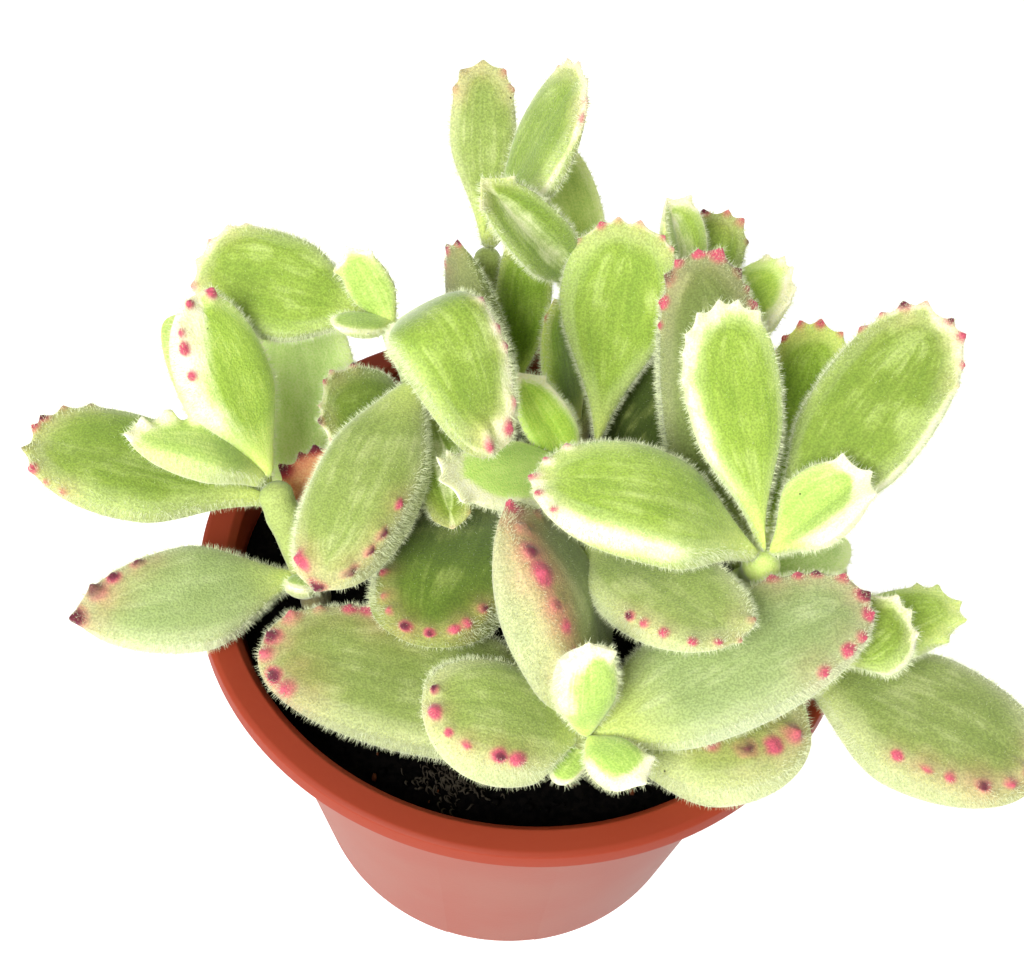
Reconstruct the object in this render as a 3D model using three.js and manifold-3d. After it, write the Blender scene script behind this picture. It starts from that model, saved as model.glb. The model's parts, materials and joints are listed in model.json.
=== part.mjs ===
// Bear's paw succulent (Cotyledon tomentosa, variegated form) in its plastic nursery pot.
// Millimetres, +Z up. The origin is the centre of the pot's underside, on the surface it stands on.
// The plant is eleven short stems that stand in holes in the soil. Each stem carries fleshy,
// spoon-shaped leaves with pointed teeth along the end; the smallest shoot leaves and buds have
// grown together with their stem, and every larger leaf is a solid of its own.
import * as THREE from 'three';
import { mergeVertices } from 'three/addons/utils/BufferGeometryUtils.js';
import Module from 'manifold-3d';

const wasm = await Module();
wasm.setup();

// ---- Driving dimensions ----------------------------------------------------------------------
const POT_HEIGHT = 58;
const RIM_RADIUS = 42.5;        // outside of the lip
const RIM_MOUTH = 39.5;         // inside edge of the lip's flat top
const RIM_DEPTH = 2.6;          // height of the lip's outer edge
const COLLAR_RADIUS = 39.0;     // outside of the straight collar under the lip
const COLLAR_HEIGHT = 8;        // collar and lip together
const WALL_TOP_RADIUS = 37.4;   // outside of the tapered wall where the collar starts
const FOOT_RADIUS = 30;
const WALL = 1.2;
const FLOOR = 2.4;
const REST_DISC_RADIUS = 18;    // flat middle of the underside
const FOOT_RING_RADIUS = 25.5;  // inside of the foot ring
const FOOT_STEP = 1.2;          // how far the underside is raised between disc and ring
const DRAIN_COUNT = 6;
const DRAIN_HOLE_RADIUS = 2.6;
const DRAIN_SLOT_WIDTH = 13;
const ROUND_SIDES = 48;

const SOIL_TOP = 54;
const SOIL_MOUND = 0.8;         // the soil is this much higher in the middle
const CLEARANCE = 0.3;          // gap between pieces that touch

const STEM_ROOT_DEPTH = 4;
const STEM_SIDES = 8;
const STEM_STEPS = 6;

const TOOTH_PITCH = 2.6;        // spacing of the teeth along a leaf's edge
const NECK = 0.3;               // width of a leaf's stalk end over its greatest width
const NECK_THICKNESS = 2.4;

// ---- Materials -------------------------------------------------------------------------------
const material = (color, roughness) => new THREE.MeshStandardMaterial({ color, roughness, metalness: 0 });
const POT_PLASTIC = 0xb0543a;
const SOIL_DARK = 0x1c1714;
const STEM_GREEN = 0xb9c97a;
const LEAF_GREEN = 0xa3c268;
const LEAF_GREY = 0xa9bd8b;
const LEAF_DEEP = 0x86a552;
const LEAF_RUST = 0xc4744a;

// ---- Solids ----------------------------------------------------------------------------------
function toSolid(geometry) {
  const bare = geometry.clone();
  bare.deleteAttribute('normal');
  bare.deleteAttribute('uv');
  const merged = mergeVertices(bare, 1e-4);
  return new wasm.Manifold(new wasm.Mesh({
    numProp: 3,
    vertProperties: new Float32Array(merged.attributes.position.array),
    triVerts: new Uint32Array(merged.index.array),
  }));
}

function toGeometry(solid) {
  const mesh = solid.getMesh();
  const geometry = new THREE.BufferGeometry();
  geometry.setAttribute('position', new THREE.BufferAttribute(new Float32Array(mesh.vertProperties), 3));
  geometry.setIndex(Array.from(mesh.triVerts));
  geometry.computeVertexNormals();
  return geometry;
}

// A closed outline of [radius, height] turned about the Z axis.
function turned(profile) {
  const points = [...profile, profile[0]].map(([r, z]) => new THREE.Vector2(r, z));
  return new THREE.LatheGeometry(points, ROUND_SIDES).rotateX(Math.PI / 2);
}

// An upright round peg from height z0 to z1.
function peg(radius, x, y, z0, z1, sides = 12) {
  return new THREE.CylinderGeometry(radius, radius, z1 - z0, sides)
    .rotateX(Math.PI / 2).translate(x, y, (z0 + z1) / 2);
}

// ---- Pot -------------------------------------------------------------------------------------
const COLLAR_FOOT = POT_HEIGHT - COLLAR_HEIGHT;
const wallRadius = z => FOOT_RADIUS + (WALL_TOP_RADIUS - FOOT_RADIUS) * z / COLLAR_FOOT;

function potSolid() {
  const lipUnder = POT_HEIGHT - RIM_DEPTH;
  const profile = [
    [0, 0], [REST_DISC_RADIUS, 0], [REST_DISC_RADIUS + 0.6, FOOT_STEP],
    [FOOT_RING_RADIUS - 0.6, FOOT_STEP], [FOOT_RING_RADIUS, 0], [FOOT_RADIUS - 0.8, 0],
    [FOOT_RADIUS, 0.8], [WALL_TOP_RADIUS, COLLAR_FOOT], [COLLAR_RADIUS, COLLAR_FOOT + 1],
    [COLLAR_RADIUS + 0.3, lipUnder + 0.6], [RIM_RADIUS - 0.4, lipUnder],
    [RIM_RADIUS, lipUnder + 0.5], [RIM_RADIUS - 0.3, POT_HEIGHT - 0.3],
    [RIM_RADIUS - 0.9, POT_HEIGHT], [RIM_MOUTH, POT_HEIGHT - 0.3],
    [COLLAR_RADIUS - WALL + 0.2, POT_HEIGHT - 1.6], [COLLAR_RADIUS - WALL, COLLAR_FOOT + 0.6 + WALL],
    [WALL_TOP_RADIUS - WALL, COLLAR_FOOT + WALL / 2], [wallRadius(FLOOR) - WALL, FLOOR], [0, FLOOR],
  ];
  let solid = toSolid(turned(profile));
  const holeRing = (REST_DISC_RADIUS + FOOT_RING_RADIUS) / 2;
  for (let i = 0; i < DRAIN_COUNT; i++) {
    const turn = 2 * Math.PI * (i / DRAIN_COUNT) - Math.PI / 2;
    const hole = peg(DRAIN_HOLE_RADIUS, holeRing, 0, -1, FLOOR + 1).rotateZ(turn);
    const slot = new THREE.BoxGeometry(8, DRAIN_SLOT_WIDTH, 2 * FOOT_STEP)
      .translate(FOOT_RADIUS, 0, 0).rotateZ(turn);
    solid = solid.subtract(toSolid(hole)).subtract(toSolid(slot));
  }
  return toGeometry(solid);
}

// ---- Stems -----------------------------------------------------------------------------------
// name, [x, y] where the stem leaves the soil, points above it up to the tip, radius
const STEMS = [
  ['stem_back_tall', [-4, 24], [[-5, 31, 70], [-9.2, 30, 82.5]], 1.8],
  ['stem_back_young', [6, 22], [[6, 28, 68], [5, 29, 78]], 1.6],
  ['stem_middle', [7, 11], [[8, 12, 60], [8, 12, 64]], 2.0],
  ['stem_back_right', [16, 20], [[17, 25, 67], [18, 28, 75]], 1.8],
  ['stem_right', [27, -4], [[28, -6, 64], [28, -8, 71]], 2.1],
  ['stem_back_left', [-11, 13], [[-15, 14, 70], [-19, 13, 84]], 1.8],
  ['stem_left', [-27, -7], [[-29, -6, 63], [-32, -3, 71]], 2.0],
  ['stem_inner', [-6, 7], [[-6, 8, 60], [-7, 9, 70]], 1.5],
  ['stem_front', [10, -22], [[9.5, -26, 58], [8, -29, 62]], 1.8],
  ['stem_right_low', [29, -10], [[33, -14, 61], [37, -18, 64.5]], 1.7],
  ['stem_centre', [5, -4], [[6, -3, 61], [6, -3, 68.5]], 1.8],
];

function stemCurve([, [x, y], rest]) {
  const points = [[x, y, SOIL_TOP - STEM_ROOT_DEPTH], [x, y, SOIL_TOP + 1.5], ...rest];
  return new THREE.CatmullRomCurve3(points.map(p => new THREE.Vector3(...p)), false, 'centripetal');
}

// The point on a stem at a given height, with the stem's direction there.
function stemAt(curve, height) {
  let low = 0;
  let high = 1;
  for (let i = 0; i < 24; i++) {
    const middle = (low + high) / 2;
    if (curve.getPoint(middle).z < height) low = middle;
    else high = middle;
  }
  return { point: curve.getPoint(low), along: curve.getTangent(Math.min(low, 0.98)) };
}

function stemTube(curve, radius) {
  const section = new THREE.Shape();
  for (let i = 0; i < STEM_SIDES; i++) {
    const turn = 2 * Math.PI * i / STEM_SIDES;
    if (i === 0) section.moveTo(radius * Math.cos(turn), radius * Math.sin(turn));
    else section.lineTo(radius * Math.cos(turn), radius * Math.sin(turn));
  }
  return new THREE.ExtrudeGeometry(section, { steps: STEM_STEPS, extrudePath: curve, bevelEnabled: false });
}

// ---- Leaves ----------------------------------------------------------------------------------
const smooth = t => {
  const c = Math.min(1, Math.max(0, t));
  return c * c * (3 - 2 * c);
};

// Half of a leaf's outline from stalk to end: points [x, y], with the distance d back from the end.
function halfOutline(length, width, neck, full, paw, point) {
  const COUNT = 120;
  const points = [];
  for (let i = 0; i <= COUNT; i++) {
    const turn = Math.PI * i / COUNT;
    const s = (1 - Math.cos(turn)) / 2;
    const spread = neck + (1 - neck) * smooth(s / full);
    const p = s ** paw;
    points.push({ x: length * s, y: width / 2 * (4 * p * (1 - p)) ** point * spread, d: 0 });
  }
  for (let i = COUNT - 1; i >= 0; i--) {
    const a = points[i];
    const b = points[i + 1];
    a.d = b.d + Math.hypot(a.x - b.x, a.y - b.y);
  }
  return points;
}

function outlineAt(points, d) {
  let i = points.length - 1;
  while (i > 1 && points[i - 1].d < d) i--;
  const a = points[i];
  const b = points[i - 1];
  const f = (d - a.d) / (b.d - a.d);
  return { x: a.x + f * (b.x - a.x), y: a.y + f * (b.y - a.y) };
}

// Distances back from the leaf's end at which its edge has a corner, each with the height of the
// tooth there. An odd number of teeth puts one on the very end.
function edgeStations(total, teeth, tooth) {
  const stations = [];
  const odd = teeth % 2;
  const perSide = (teeth - odd) / 2;
  stations.push([0, odd ? tooth : 0]);
  for (let i = 1; i <= perSide; i++) {
    const peak = (i - (odd ? 0 : 0.5)) * TOOTH_PITCH;
    if (odd || i > 1) stations.push([peak - TOOTH_PITCH / 2, 0]);
    stations.push([peak, tooth * (1 - 0.5 * (i - 1) / perSide)]);
  }
  const last = stations[stations.length - 1][0] + (teeth ? TOOTH_PITCH / 2 : 0);
  if (teeth) stations.push([last, 0]);
  const PLAIN = teeth ? 5 : 7;
  for (let i = 1; i <= PLAIN; i++) stations.push([last + (total - last) * i / PLAIN, 0]);
  return stations.reverse();
}

// A leaf's solid. Its edge carries the teeth; one ring inside the edge and a middle line on each
// face give it a lens-shaped section. Corners run: stalk point, then left and right pairs, end point.
function leafGeometry(leaf) {
  const axis = leaf.tip.clone().sub(leaf.base);
  const length = axis.length();
  axis.normalize();
  const up = new THREE.Vector3(0, 0, 1).addScaledVector(axis, -axis.z).normalize();
  up.applyAxisAngle(axis, THREE.MathUtils.degToRad(leaf.roll));
  const side = new THREE.Vector3().crossVectors(up, axis);

  const half = halfOutline(length, leaf.width, leaf.neck, leaf.full, leaf.paw, leaf.point);
  const stations = edgeStations(half[0].d, leaf.teeth, leaf.tooth);
  const RING = 0.78;
  const RING_SWELL = 0.66;

  const swell = x => {
    const s = Math.min(1, x / length);
    const stalk = Math.min(NECK_THICKNESS, leaf.thick);
    return stalk * (1 - s) + (leaf.thick - stalk * (1 - s)) * Math.sin(Math.PI * s ** 1.1 * 0.94 + 0.06);
  };
  const place = (x, y, z) => leaf.base.clone()
    .addScaledVector(axis, x)
    .addScaledVector(side, y + leaf.sweep * Math.sin(Math.PI * x / length))
    .addScaledVector(up, z + leaf.fold * Math.abs(y) + leaf.bow * Math.sin(Math.PI * x / length));

  const vertices = [];
  const add = (x, y, z) => vertices.push(...place(x, y, z).toArray()) / 3 - 1;
  const rows = stations.map(([d, height], k) => {
    const p = outlineAt(half, d);
    const spine = length * (0.07 + 0.79 * p.x / length);
    const reach = Math.hypot(p.x - spine, p.y) || 1;
    const out = 1 + height / reach;
    const x = spine + (p.x - spine) * out;
    const y = p.y * out;
    const end = k === 0 || k === stations.length - 1;
    const rx = spine + (p.x - spine) * RING;
    const ry = p.y * RING;
    const row = { edge: [], top: [], under: [] };
    for (const s of end ? [1] : [1, -1]) {
      row.edge.push(add(x, end ? 0 : s * y, 0));
      row.top.push(add(rx, end ? 0 : s * ry, 0.4 * RING_SWELL * swell(rx)));
      row.under.push(add(rx, end ? 0 : s * ry, -0.6 * RING_SWELL * swell(rx)));
    }
    if (!end) {
      row.topMiddle = add(spine, 0, 0.4 * swell(spine));
      row.underMiddle = add(spine, 0, -0.6 * swell(spine));
    }
    return row;
  });

  const faces = [];
  const quad = (a, b, c, d, flip) => {
    if (flip) faces.push(a, c, b, a, d, c);
    else faces.push(a, b, c, a, c, d);
  };
  const fan = (a, b, c, flip) => faces.push(...(flip ? [a, c, b] : [a, b, c]));
  for (let k = 0; k + 1 < rows.length; k++) {
    for (const s of [0, 1]) {
      const pick = (row, ring) => rows[row][ring][Math.min(s, rows[row][ring].length - 1)];
      const flip = s === 0;
      quad(pick(k, 'edge'), pick(k + 1, 'edge'), pick(k + 1, 'top'), pick(k, 'top'), flip);
      quad(pick(k, 'under'), pick(k + 1, 'under'), pick(k + 1, 'edge'), pick(k, 'edge'), flip);
      const [a, b] = [rows[k], rows[k + 1]];
      if (k === 0) {
        fan(pick(k, 'top'), pick(k + 1, 'top'), b.topMiddle, flip);
        fan(b.underMiddle, pick(k + 1, 'under'), pick(k, 'under'), flip);
      } else if (k + 2 === rows.length) {
        fan(pick(k, 'top'), pick(k + 1, 'top'), a.topMiddle, flip);
        fan(a.underMiddle, pick(k + 1, 'under'), pick(k, 'under'), flip);
      } else {
        quad(pick(k, 'top'), pick(k + 1, 'top'), b.topMiddle, a.topMiddle, flip);
        quad(a.underMiddle, b.underMiddle, pick(k + 1, 'under'), pick(k, 'under'), flip);
      }
    }
  }
  const geometry = new THREE.BufferGeometry();
  geometry.setAttribute('position', new THREE.Float32BufferAttribute(vertices, 3));
  geometry.setIndex(faces);
  geometry.computeVertexNormals();
  return geometry;
}

const TOP = 'top';

// name, stem, height on the stem, tip [x, y, z], width, thickness, teeth, and what differs from
// DEFAULTS: roll turns the leaf about its length in degrees, bow raises its middle, sweep bends it
// sideways, fold lifts its edges, tooth is the height of a tooth, neck is the width of the stalk end
// over the greatest width, full is where along the leaf that width is reached, paw above 1 moves the
// widest place nearer the tip, point above 0.4 makes the ends more pointed, and seat adds room
// between stalk and stem.
const DEFAULTS = {
  roll: 0, bow: 0, sweep: 0, fold: 0.08, tooth: 0.9, neck: NECK, full: 0.5, paw: 1.15, point: 0.4, seat: 0,
  color: LEAF_GREEN,
};
const LEAVES = [
  ['leaf_01', 'stem_back_tall', TOP, [-11, 43, 101.5], 8.5, 3.6, 5, { full: 0.6, paw: 1.5, tooth: 0.6 }],
  ['leaf_02', 'stem_back_tall', TOP, [1.5, 33, 107.5], 14, 4, 6, { full: 0.6, paw: 1.7 }],
  ['leaf_05', 'stem_back_tall', 58, [-12, 23.5, 88.5], 9.5, 4, 5, { roll: 60, color: LEAF_GREY }],
  ['leaf_06', 'stem_back_tall', 61, [-3.4, 28.2, 88], 7.6, 2.7, 4,
    { bow: -2, seat: 1, color: LEAF_DEEP }],
  ['leaf_52', 'stem_back_tall', 60, [-8, 43, 69], 11, 4, 5, { color: LEAF_GREY }],
  ['leaf_03', 'stem_back_young', TOP, [-9, 19.8, 101], 7.5, 3.5, 3, { roll: -80, fold: 0.6 }],
  ['leaf_04', 'stem_back_young', 74, [-2, 44, 90.5], 11, 3.6, 3, { color: LEAF_GREY }],
  ['leaf_51', 'stem_back_young', 62, [12, 41, 70.5], 12, 4, 6, { color: LEAF_GREY }],
  ['leaf_07', 'stem_back_young', 60, [0.6, 21.2, 82], 9.2, 2.6, 3,
    { full: 0.4, roll: -50, color: LEAF_DEEP }],
  ['leaf_08', 'stem_middle', TOP, [9, 27, 91], 15, 4.5, 6, { full: 0.7, paw: 1.9 }],
  ['leaf_33', 'stem_middle', 63, [-10, -4, 75.5], 9.5, 4, 7, { tooth: 0.7, roll: -20 }],
  ['leaf_32', 'stem_middle', 61, [-3, 12, 78], 6.6, 3, 3, { roll: -60, fold: 0.4, seat: 0.2 }],
  ['leaf_50', 'stem_middle', 59, [20, 21, 78], 13, 4, 4, { full: 0.4, color: LEAF_DEEP }],
  ['leaf_09', 'stem_back_right', TOP, [13.5, 31, 92], 9, 3, 3, { paw: 1.3, fold: 0.5 }],
  ['leaf_10', 'stem_back_right', TOP, [22.5, 37.5, 85.5], 9, 3.5, 5, { paw: 1.4 }],
  ['leaf_11', 'stem_back_right', 70, [30.5, 28.5, 84.5], 12, 3.5, 5, { paw: 1.4 }],
  ['leaf_12', 'stem_right', 62, [18, 25, 89], 14.5, 6, 9,
    { full: 0.45, paw: 1.4, roll: -15, color: LEAF_GREY }],
  ['leaf_13', 'stem_right', 62, [35, 23, 80.5], 13, 4.5, 7, { paw: 1.5, roll: -20, bow: -3, color: LEAF_DEEP }],
  ['leaf_14', 'stem_right', 69, [46, 15, 91], 14.5, 5, 8, { paw: 1.5 }],
  ['leaf_15', 'stem_right', 59, [41, 4.5, 61.5], 10, 4, 0, { color: LEAF_GREY }],
  ['leaf_16', 'stem_right', TOP, [19, 9, 94.5], 12, 4, 7, { paw: 2 }],
  ['leaf_17', 'stem_right', TOP, [38, -3, 81.5], 9.5, 4, 3, { fold: 0.5 }],
  ['leaf_18', 'stem_right', TOP, [0, -6, 79.5], 15, 6, 5, { full: 0.4, paw: 1.3, point: 0.45, bow: 3 }],
  ['leaf_19', 'stem_back_left', TOP, [-42.5, 16, 88.5], 13, 5, 7,
    { paw: 1.5, roll: -30, bow: 0.5, tooth: 0.6, seat: 0.3 }],
  ['leaf_22', 'stem_back_left', TOP, [-4.8, -2.5, 80.5], 11.2, 7.5, 6,
    { full: 0.35, roll: 15, bow: 11, sweep: 1.2 }],
  ['leaf_30', 'stem_back_left', 74, [-24, -16.5, 70], 12.5, 8, 7, { neck: 0.6, full: 0.4, color: LEAF_GREY }],
  ['leaf_29', 'stem_back_left', 66, [-27.5, 8.5, 73], 13.5, 3.5, 7, { roll: -25, color: LEAF_DEEP }],
  ['leaf_28', 'stem_back_left', 60, [-31, -0.2, 67], 8.5, 3.5, 5,
    { roll: -30, bow: 1, tooth: 1.3, seat: 0.9, color: LEAF_RUST }],
  ['leaf_31', 'stem_back_left', 68, [-9.6, -4.5, 67.5], 7, 4, 3, { neck: 0.5, fold: 0.3 }],
  ['leaf_23', 'stem_left', TOP, [-40.5, 6, 92], 11.3, 6, 8, { neck: 0.45, paw: 1.2, roll: 15 }],
  ['leaf_24', 'stem_left', 67, [-46, 12, 83], 8, 3, 0, { seat: 0.2 }],
  ['leaf_25', 'stem_left', 70, [-59, -5, 77.5], 14.5, 5, 8, { paw: 1.5 }],
  ['leaf_26', 'stem_left', TOP, [-46, -7.5, 82.5], 6.5, 5, 5, { bow: 1.5 }],
  ['leaf_27', 'stem_left', 57, [-33, 22, 80], 15, 4, 0, { full: 0.5, paw: 1.3, bow: -5, color: LEAF_GREY }],
  ['leaf_36', 'stem_left', 59, [-51.5, -21, 65.4], 13, 5.6, 7,
    { paw: 0.9, point: 0.55, roll: -15, color: LEAF_GREY }],
  ['leaf_35', 'stem_inner', 60, [-12.5, -19.5, 64.5], 16.6, 7, 8, { full: 0.35, color: LEAF_DEEP }],
  ['leaf_42', 'stem_centre', 67, [23.3, -22.7, 75.2], 14, 5.1, 7, { neck: 0.45, full: 0.3, seat: 0.8 }],
  ['leaf_34', 'stem_front', 57, [-2.6, -8.5, 77], 17.9, 9.3, 7,
    { neck: 0.55, full: 0.3, paw: 0.9, roll: 42, bow: 0.9, sweep: -1, color: LEAF_GREY }],
  ['leaf_38', 'stem_front', 61, [-10.3, -29.2, 67.2], 13.9, 7, 8,
    { neck: 0.5, full: 0.3, color: LEAF_GREY }],
  ['leaf_37', 'stem_front', 57, [-31, -18.5, 59.3], 17.1, 5.6, 8,
    { full: 0.35, roll: -4, color: LEAF_GREY }],
  ['leaf_43', 'stem_front', TOP, [39, -13, 72], 15, 6, 9,
    { neck: 0.65, full: 0.3, bow: 0.5, color: LEAF_GREY }],
  ['leaf_44', 'stem_front', 58, [34, -24, 61.5], 17, 7, 7, { neck: 0.5, color: LEAF_GREY }],
  ['leaf_39', 'stem_front', TOP, [7, -25.5, 75.5], 7, 5, 3, { neck: 0.6 }],
  ['leaf_40', 'stem_front', TOP, [14, -36, 66], 6, 4, 3, { neck: 0.6, full: 0.35 }],
  ['leaf_45', 'stem_right_low', TOP, [44, -14.5, 71], 10, 4, 3, {}],
  ['leaf_46', 'stem_right_low', 63, [52, -9, 66.5], 9, 4, 5, { neck: 0.5 }],
  ['leaf_47', 'stem_right_low', 61, [59, -30, 64.5], 18, 6.5, 8,
    { neck: 0.35, full: 0.55, seat: 0.2, color: LEAF_GREY }],
];

// Shoot leaves and buds too small to stand apart: they are joined to their stem.
const BUDS = [
  ['stem_back_left', TOP, [-24, 15, 93], 5.5, 2.4, 3, -60],
  ['stem_back_left', TOP, [-25.2, 7.5, 88.3], 4, 2.4, 0, 0],
  ['stem_middle', TOP, [8, 9.5, 69], 4, 3.4, 3, 0],
  ['stem_front', 60, [5, -34, 60], 3.5, 2.4, 0, 0],
  ['stem_left', 58, [-28, -12, 62], 4, 3, 0, 0],
];

// Where a leaf's stalk end sits: beside the stem at a height, or round the tip of the stem.
function stemStart(stem, height, tip, inset) {
  const atTop = height === TOP;
  const { point, along } = atTop
    ? { point: stem.curve.getPoint(1), along: new THREE.Vector3() }
    : stemAt(stem.curve, height);
  const away = tip.clone().sub(point);
  away.addScaledVector(along, -away.dot(along)).normalize();
  return point.addScaledVector(away, stem.radius + inset);
}

function addNode(group, name, geometry, color, roughness) {
  const mesh = new THREE.Mesh(geometry, material(color, roughness));
  mesh.name = name;
  group.add(mesh);
}

const group = new THREE.Group();
const stems = Object.fromEntries(STEMS.map(row => {
  const [name, foot, , radius] = row;
  return [name, { curve: stemCurve(row), radius, foot }];
}));

addNode(group, 'pot', potSolid(), POT_PLASTIC, 0.45);

function soilSolid() {
  const wallGap = WALL + CLEARANCE;
  const profile = [
    [0, FLOOR + CLEARANCE], [wallRadius(FLOOR) - wallGap, FLOOR + CLEARANCE],
    [WALL_TOP_RADIUS - wallGap, COLLAR_FOOT - 0.2], [WALL_TOP_RADIUS - wallGap, COLLAR_FOOT + 1.4],
    [COLLAR_RADIUS - wallGap, COLLAR_FOOT + 2.8], [COLLAR_RADIUS - wallGap, SOIL_TOP - 0.6],
    [34, SOIL_TOP - 0.2], [24, SOIL_TOP + 0.2], [12, SOIL_TOP + SOIL_MOUND], [0, SOIL_TOP + SOIL_MOUND],
  ];
  let solid = toSolid(turned(profile));
  for (const { foot, radius } of Object.values(stems)) {
    const hole = peg(radius + CLEARANCE + 0.15, foot[0], foot[1],
      SOIL_TOP - STEM_ROOT_DEPTH - CLEARANCE, SOIL_TOP + 4);
    solid = solid.subtract(toSolid(hole));
  }
  return toGeometry(solid);
}
addNode(group, 'soil', soilSolid(), SOIL_DARK, 0.95);

for (const [name, stem] of Object.entries(stems)) {
  let solid = toSolid(stemTube(stem.curve, stem.radius));
  const top = stem.curve.getPoint(1);
  const cap = new THREE.IcosahedronGeometry(stem.radius, 1).translate(top.x, top.y, top.z);
  solid = solid.add(toSolid(cap));
  for (const [owner, height, at, width, thick, teeth, roll] of BUDS) {
    if (owner !== name) continue;
    const tip = new THREE.Vector3(...at);
    const base = stemStart(stem, height, tip, -0.8);
    const bud = leafGeometry({ ...DEFAULTS, neck: 0.5, roll, base, tip, width, thick, teeth });
    solid = solid.add(toSolid(bud));
  }
  addNode(group, name, toGeometry(solid), STEM_GREEN, 0.8);
}

for (const [name, stemName, height, at, width, thick, teeth, more] of LEAVES) {
  const tip = new THREE.Vector3(...at);
  const leaf = { ...DEFAULTS, ...more, tip, width, thick, teeth };
  leaf.base = stemStart(stems[stemName], height, tip, CLEARANCE + leaf.seat);
  addNode(group, name, leafGeometry(leaf), leaf.color, 0.75);
}

export default group;
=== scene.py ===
# %% [markdown]
# # A bear's paw succulent in its nursery pot
#
# The plant is a variegated *Cotyledon tomentosa*. Its leaves are thick, velvety spoons with a row
# of small claws along the end, and they grow in pairs on short green stems. This lesson builds
# every leaf, stem, the soil and the pot as surfaces worked out point by point, around a fixed
# frame that already holds each piece at its real size and place.

# %% Load the frame
import json
import math
from functools import partial

import bpy
import numpy as np
from mathutils import Matrix, Vector

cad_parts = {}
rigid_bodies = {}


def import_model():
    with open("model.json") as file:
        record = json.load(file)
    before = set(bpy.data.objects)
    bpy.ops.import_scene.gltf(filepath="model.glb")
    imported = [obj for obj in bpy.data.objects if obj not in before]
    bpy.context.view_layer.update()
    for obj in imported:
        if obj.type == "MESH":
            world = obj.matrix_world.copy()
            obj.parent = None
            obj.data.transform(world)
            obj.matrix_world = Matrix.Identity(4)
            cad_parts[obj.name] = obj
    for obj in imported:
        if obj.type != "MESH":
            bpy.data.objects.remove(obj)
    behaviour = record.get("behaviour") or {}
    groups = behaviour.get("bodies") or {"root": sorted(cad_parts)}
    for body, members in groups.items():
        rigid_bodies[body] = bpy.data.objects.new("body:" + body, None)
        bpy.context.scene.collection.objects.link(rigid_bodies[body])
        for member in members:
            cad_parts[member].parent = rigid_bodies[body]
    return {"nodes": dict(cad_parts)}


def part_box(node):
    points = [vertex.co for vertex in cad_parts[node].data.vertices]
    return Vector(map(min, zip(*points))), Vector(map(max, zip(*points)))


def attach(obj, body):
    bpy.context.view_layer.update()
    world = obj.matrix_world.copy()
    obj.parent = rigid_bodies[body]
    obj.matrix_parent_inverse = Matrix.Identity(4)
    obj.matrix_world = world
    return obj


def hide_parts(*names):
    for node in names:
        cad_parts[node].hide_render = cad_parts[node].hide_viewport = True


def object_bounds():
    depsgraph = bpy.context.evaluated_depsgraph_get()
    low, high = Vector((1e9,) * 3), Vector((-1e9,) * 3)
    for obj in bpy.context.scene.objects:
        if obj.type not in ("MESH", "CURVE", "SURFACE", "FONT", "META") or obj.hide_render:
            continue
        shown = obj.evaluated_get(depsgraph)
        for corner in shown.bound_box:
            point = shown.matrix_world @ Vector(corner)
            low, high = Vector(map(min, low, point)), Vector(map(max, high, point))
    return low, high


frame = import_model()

CAD_LOW, CAD_HIGH = [list(corner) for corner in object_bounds()]
MM = 0.001
print("frame nodes:", len(frame["nodes"]), "box in mm:",
      [round((b - a) / MM, 1) for a, b in zip(CAD_LOW, CAD_HIGH)])

# %% [markdown]
# ## The camera
#
# The plant is looked down on from in front, about fifty degrees above the table, from roughly
# 22 cm away. The camera is described by where it aims, how far away it stands, how much it looks
# down and how much it leans to one side.

# %% Camera
FRAME_WIDTH_PX = 1024
FOCAL_PX = 1300.0            # focal length in pixels of a frame that wide
SENSOR_MM = 36.0
LOOK_DOWN_DEG = 50.0
LEAN_DEG = 5.0
DISTANCE_MM = 170.0          # from the lens to the aim height on the pot's axis
AIM_HEIGHT_MM = 58.0
SHIFT_RIGHT_MM = -2.0
SHIFT_UP_MM = 8.1


def camera_axes(look_down, lean):
    """Right, up and forward unit vectors of a camera that looks along +Y, tipped down, then rolled."""
    a, r = math.radians(look_down), math.radians(lean)
    forward = np.array([0, math.cos(a), -math.sin(a)])
    level_right = np.array([1.0, 0, 0])
    level_up = np.cross(level_right, forward)
    right = math.cos(r) * level_right + math.sin(r) * level_up
    up = -math.sin(r) * level_right + math.cos(r) * level_up
    return right, up, forward


right, up, forward = camera_axes(LOOK_DOWN_DEG, LEAN_DEG)
aim = np.array([0, 0, AIM_HEIGHT_MM])
eye = aim - forward * DISTANCE_MM + right * SHIFT_RIGHT_MM + up * SHIFT_UP_MM
camera_data = bpy.data.cameras.new("camera")
camera_data.sensor_width = SENSOR_MM
camera_data.lens = FOCAL_PX * SENSOR_MM / FRAME_WIDTH_PX
camera_data.clip_start = 0.01
camera = bpy.data.objects.new("camera", camera_data)
camera.matrix_world = Matrix([[*row, place] for row, place in
                              zip(np.stack([right, up, -forward], axis=1), eye * MM)] + [[0, 0, 0, 1]])
bpy.context.scene.collection.objects.link(camera)
bpy.context.scene.camera = camera
print("lens", round(camera_data.lens, 1), "mm, camera at", np.round(eye, 1), "mm")

# %% [markdown]
# ## Surfaces
#
# Everything below is drawn in millimetres and turned to metres in one place, where arrays of
# points become a mesh. A *surface* is a plain dictionary: its points, its faces, and any number of
# values per point that a material can read later.

# %% Functions for surfaces


def surface(points, faces, finish=0, **values):
    """Points (n, 3) in mm, faces (m, 3 or 4) and named values per point, as one dictionary."""
    return {"points": np.asarray(points, float), "faces": [np.asarray(faces, int)],
            "finish": [finish], "values": values}


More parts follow.
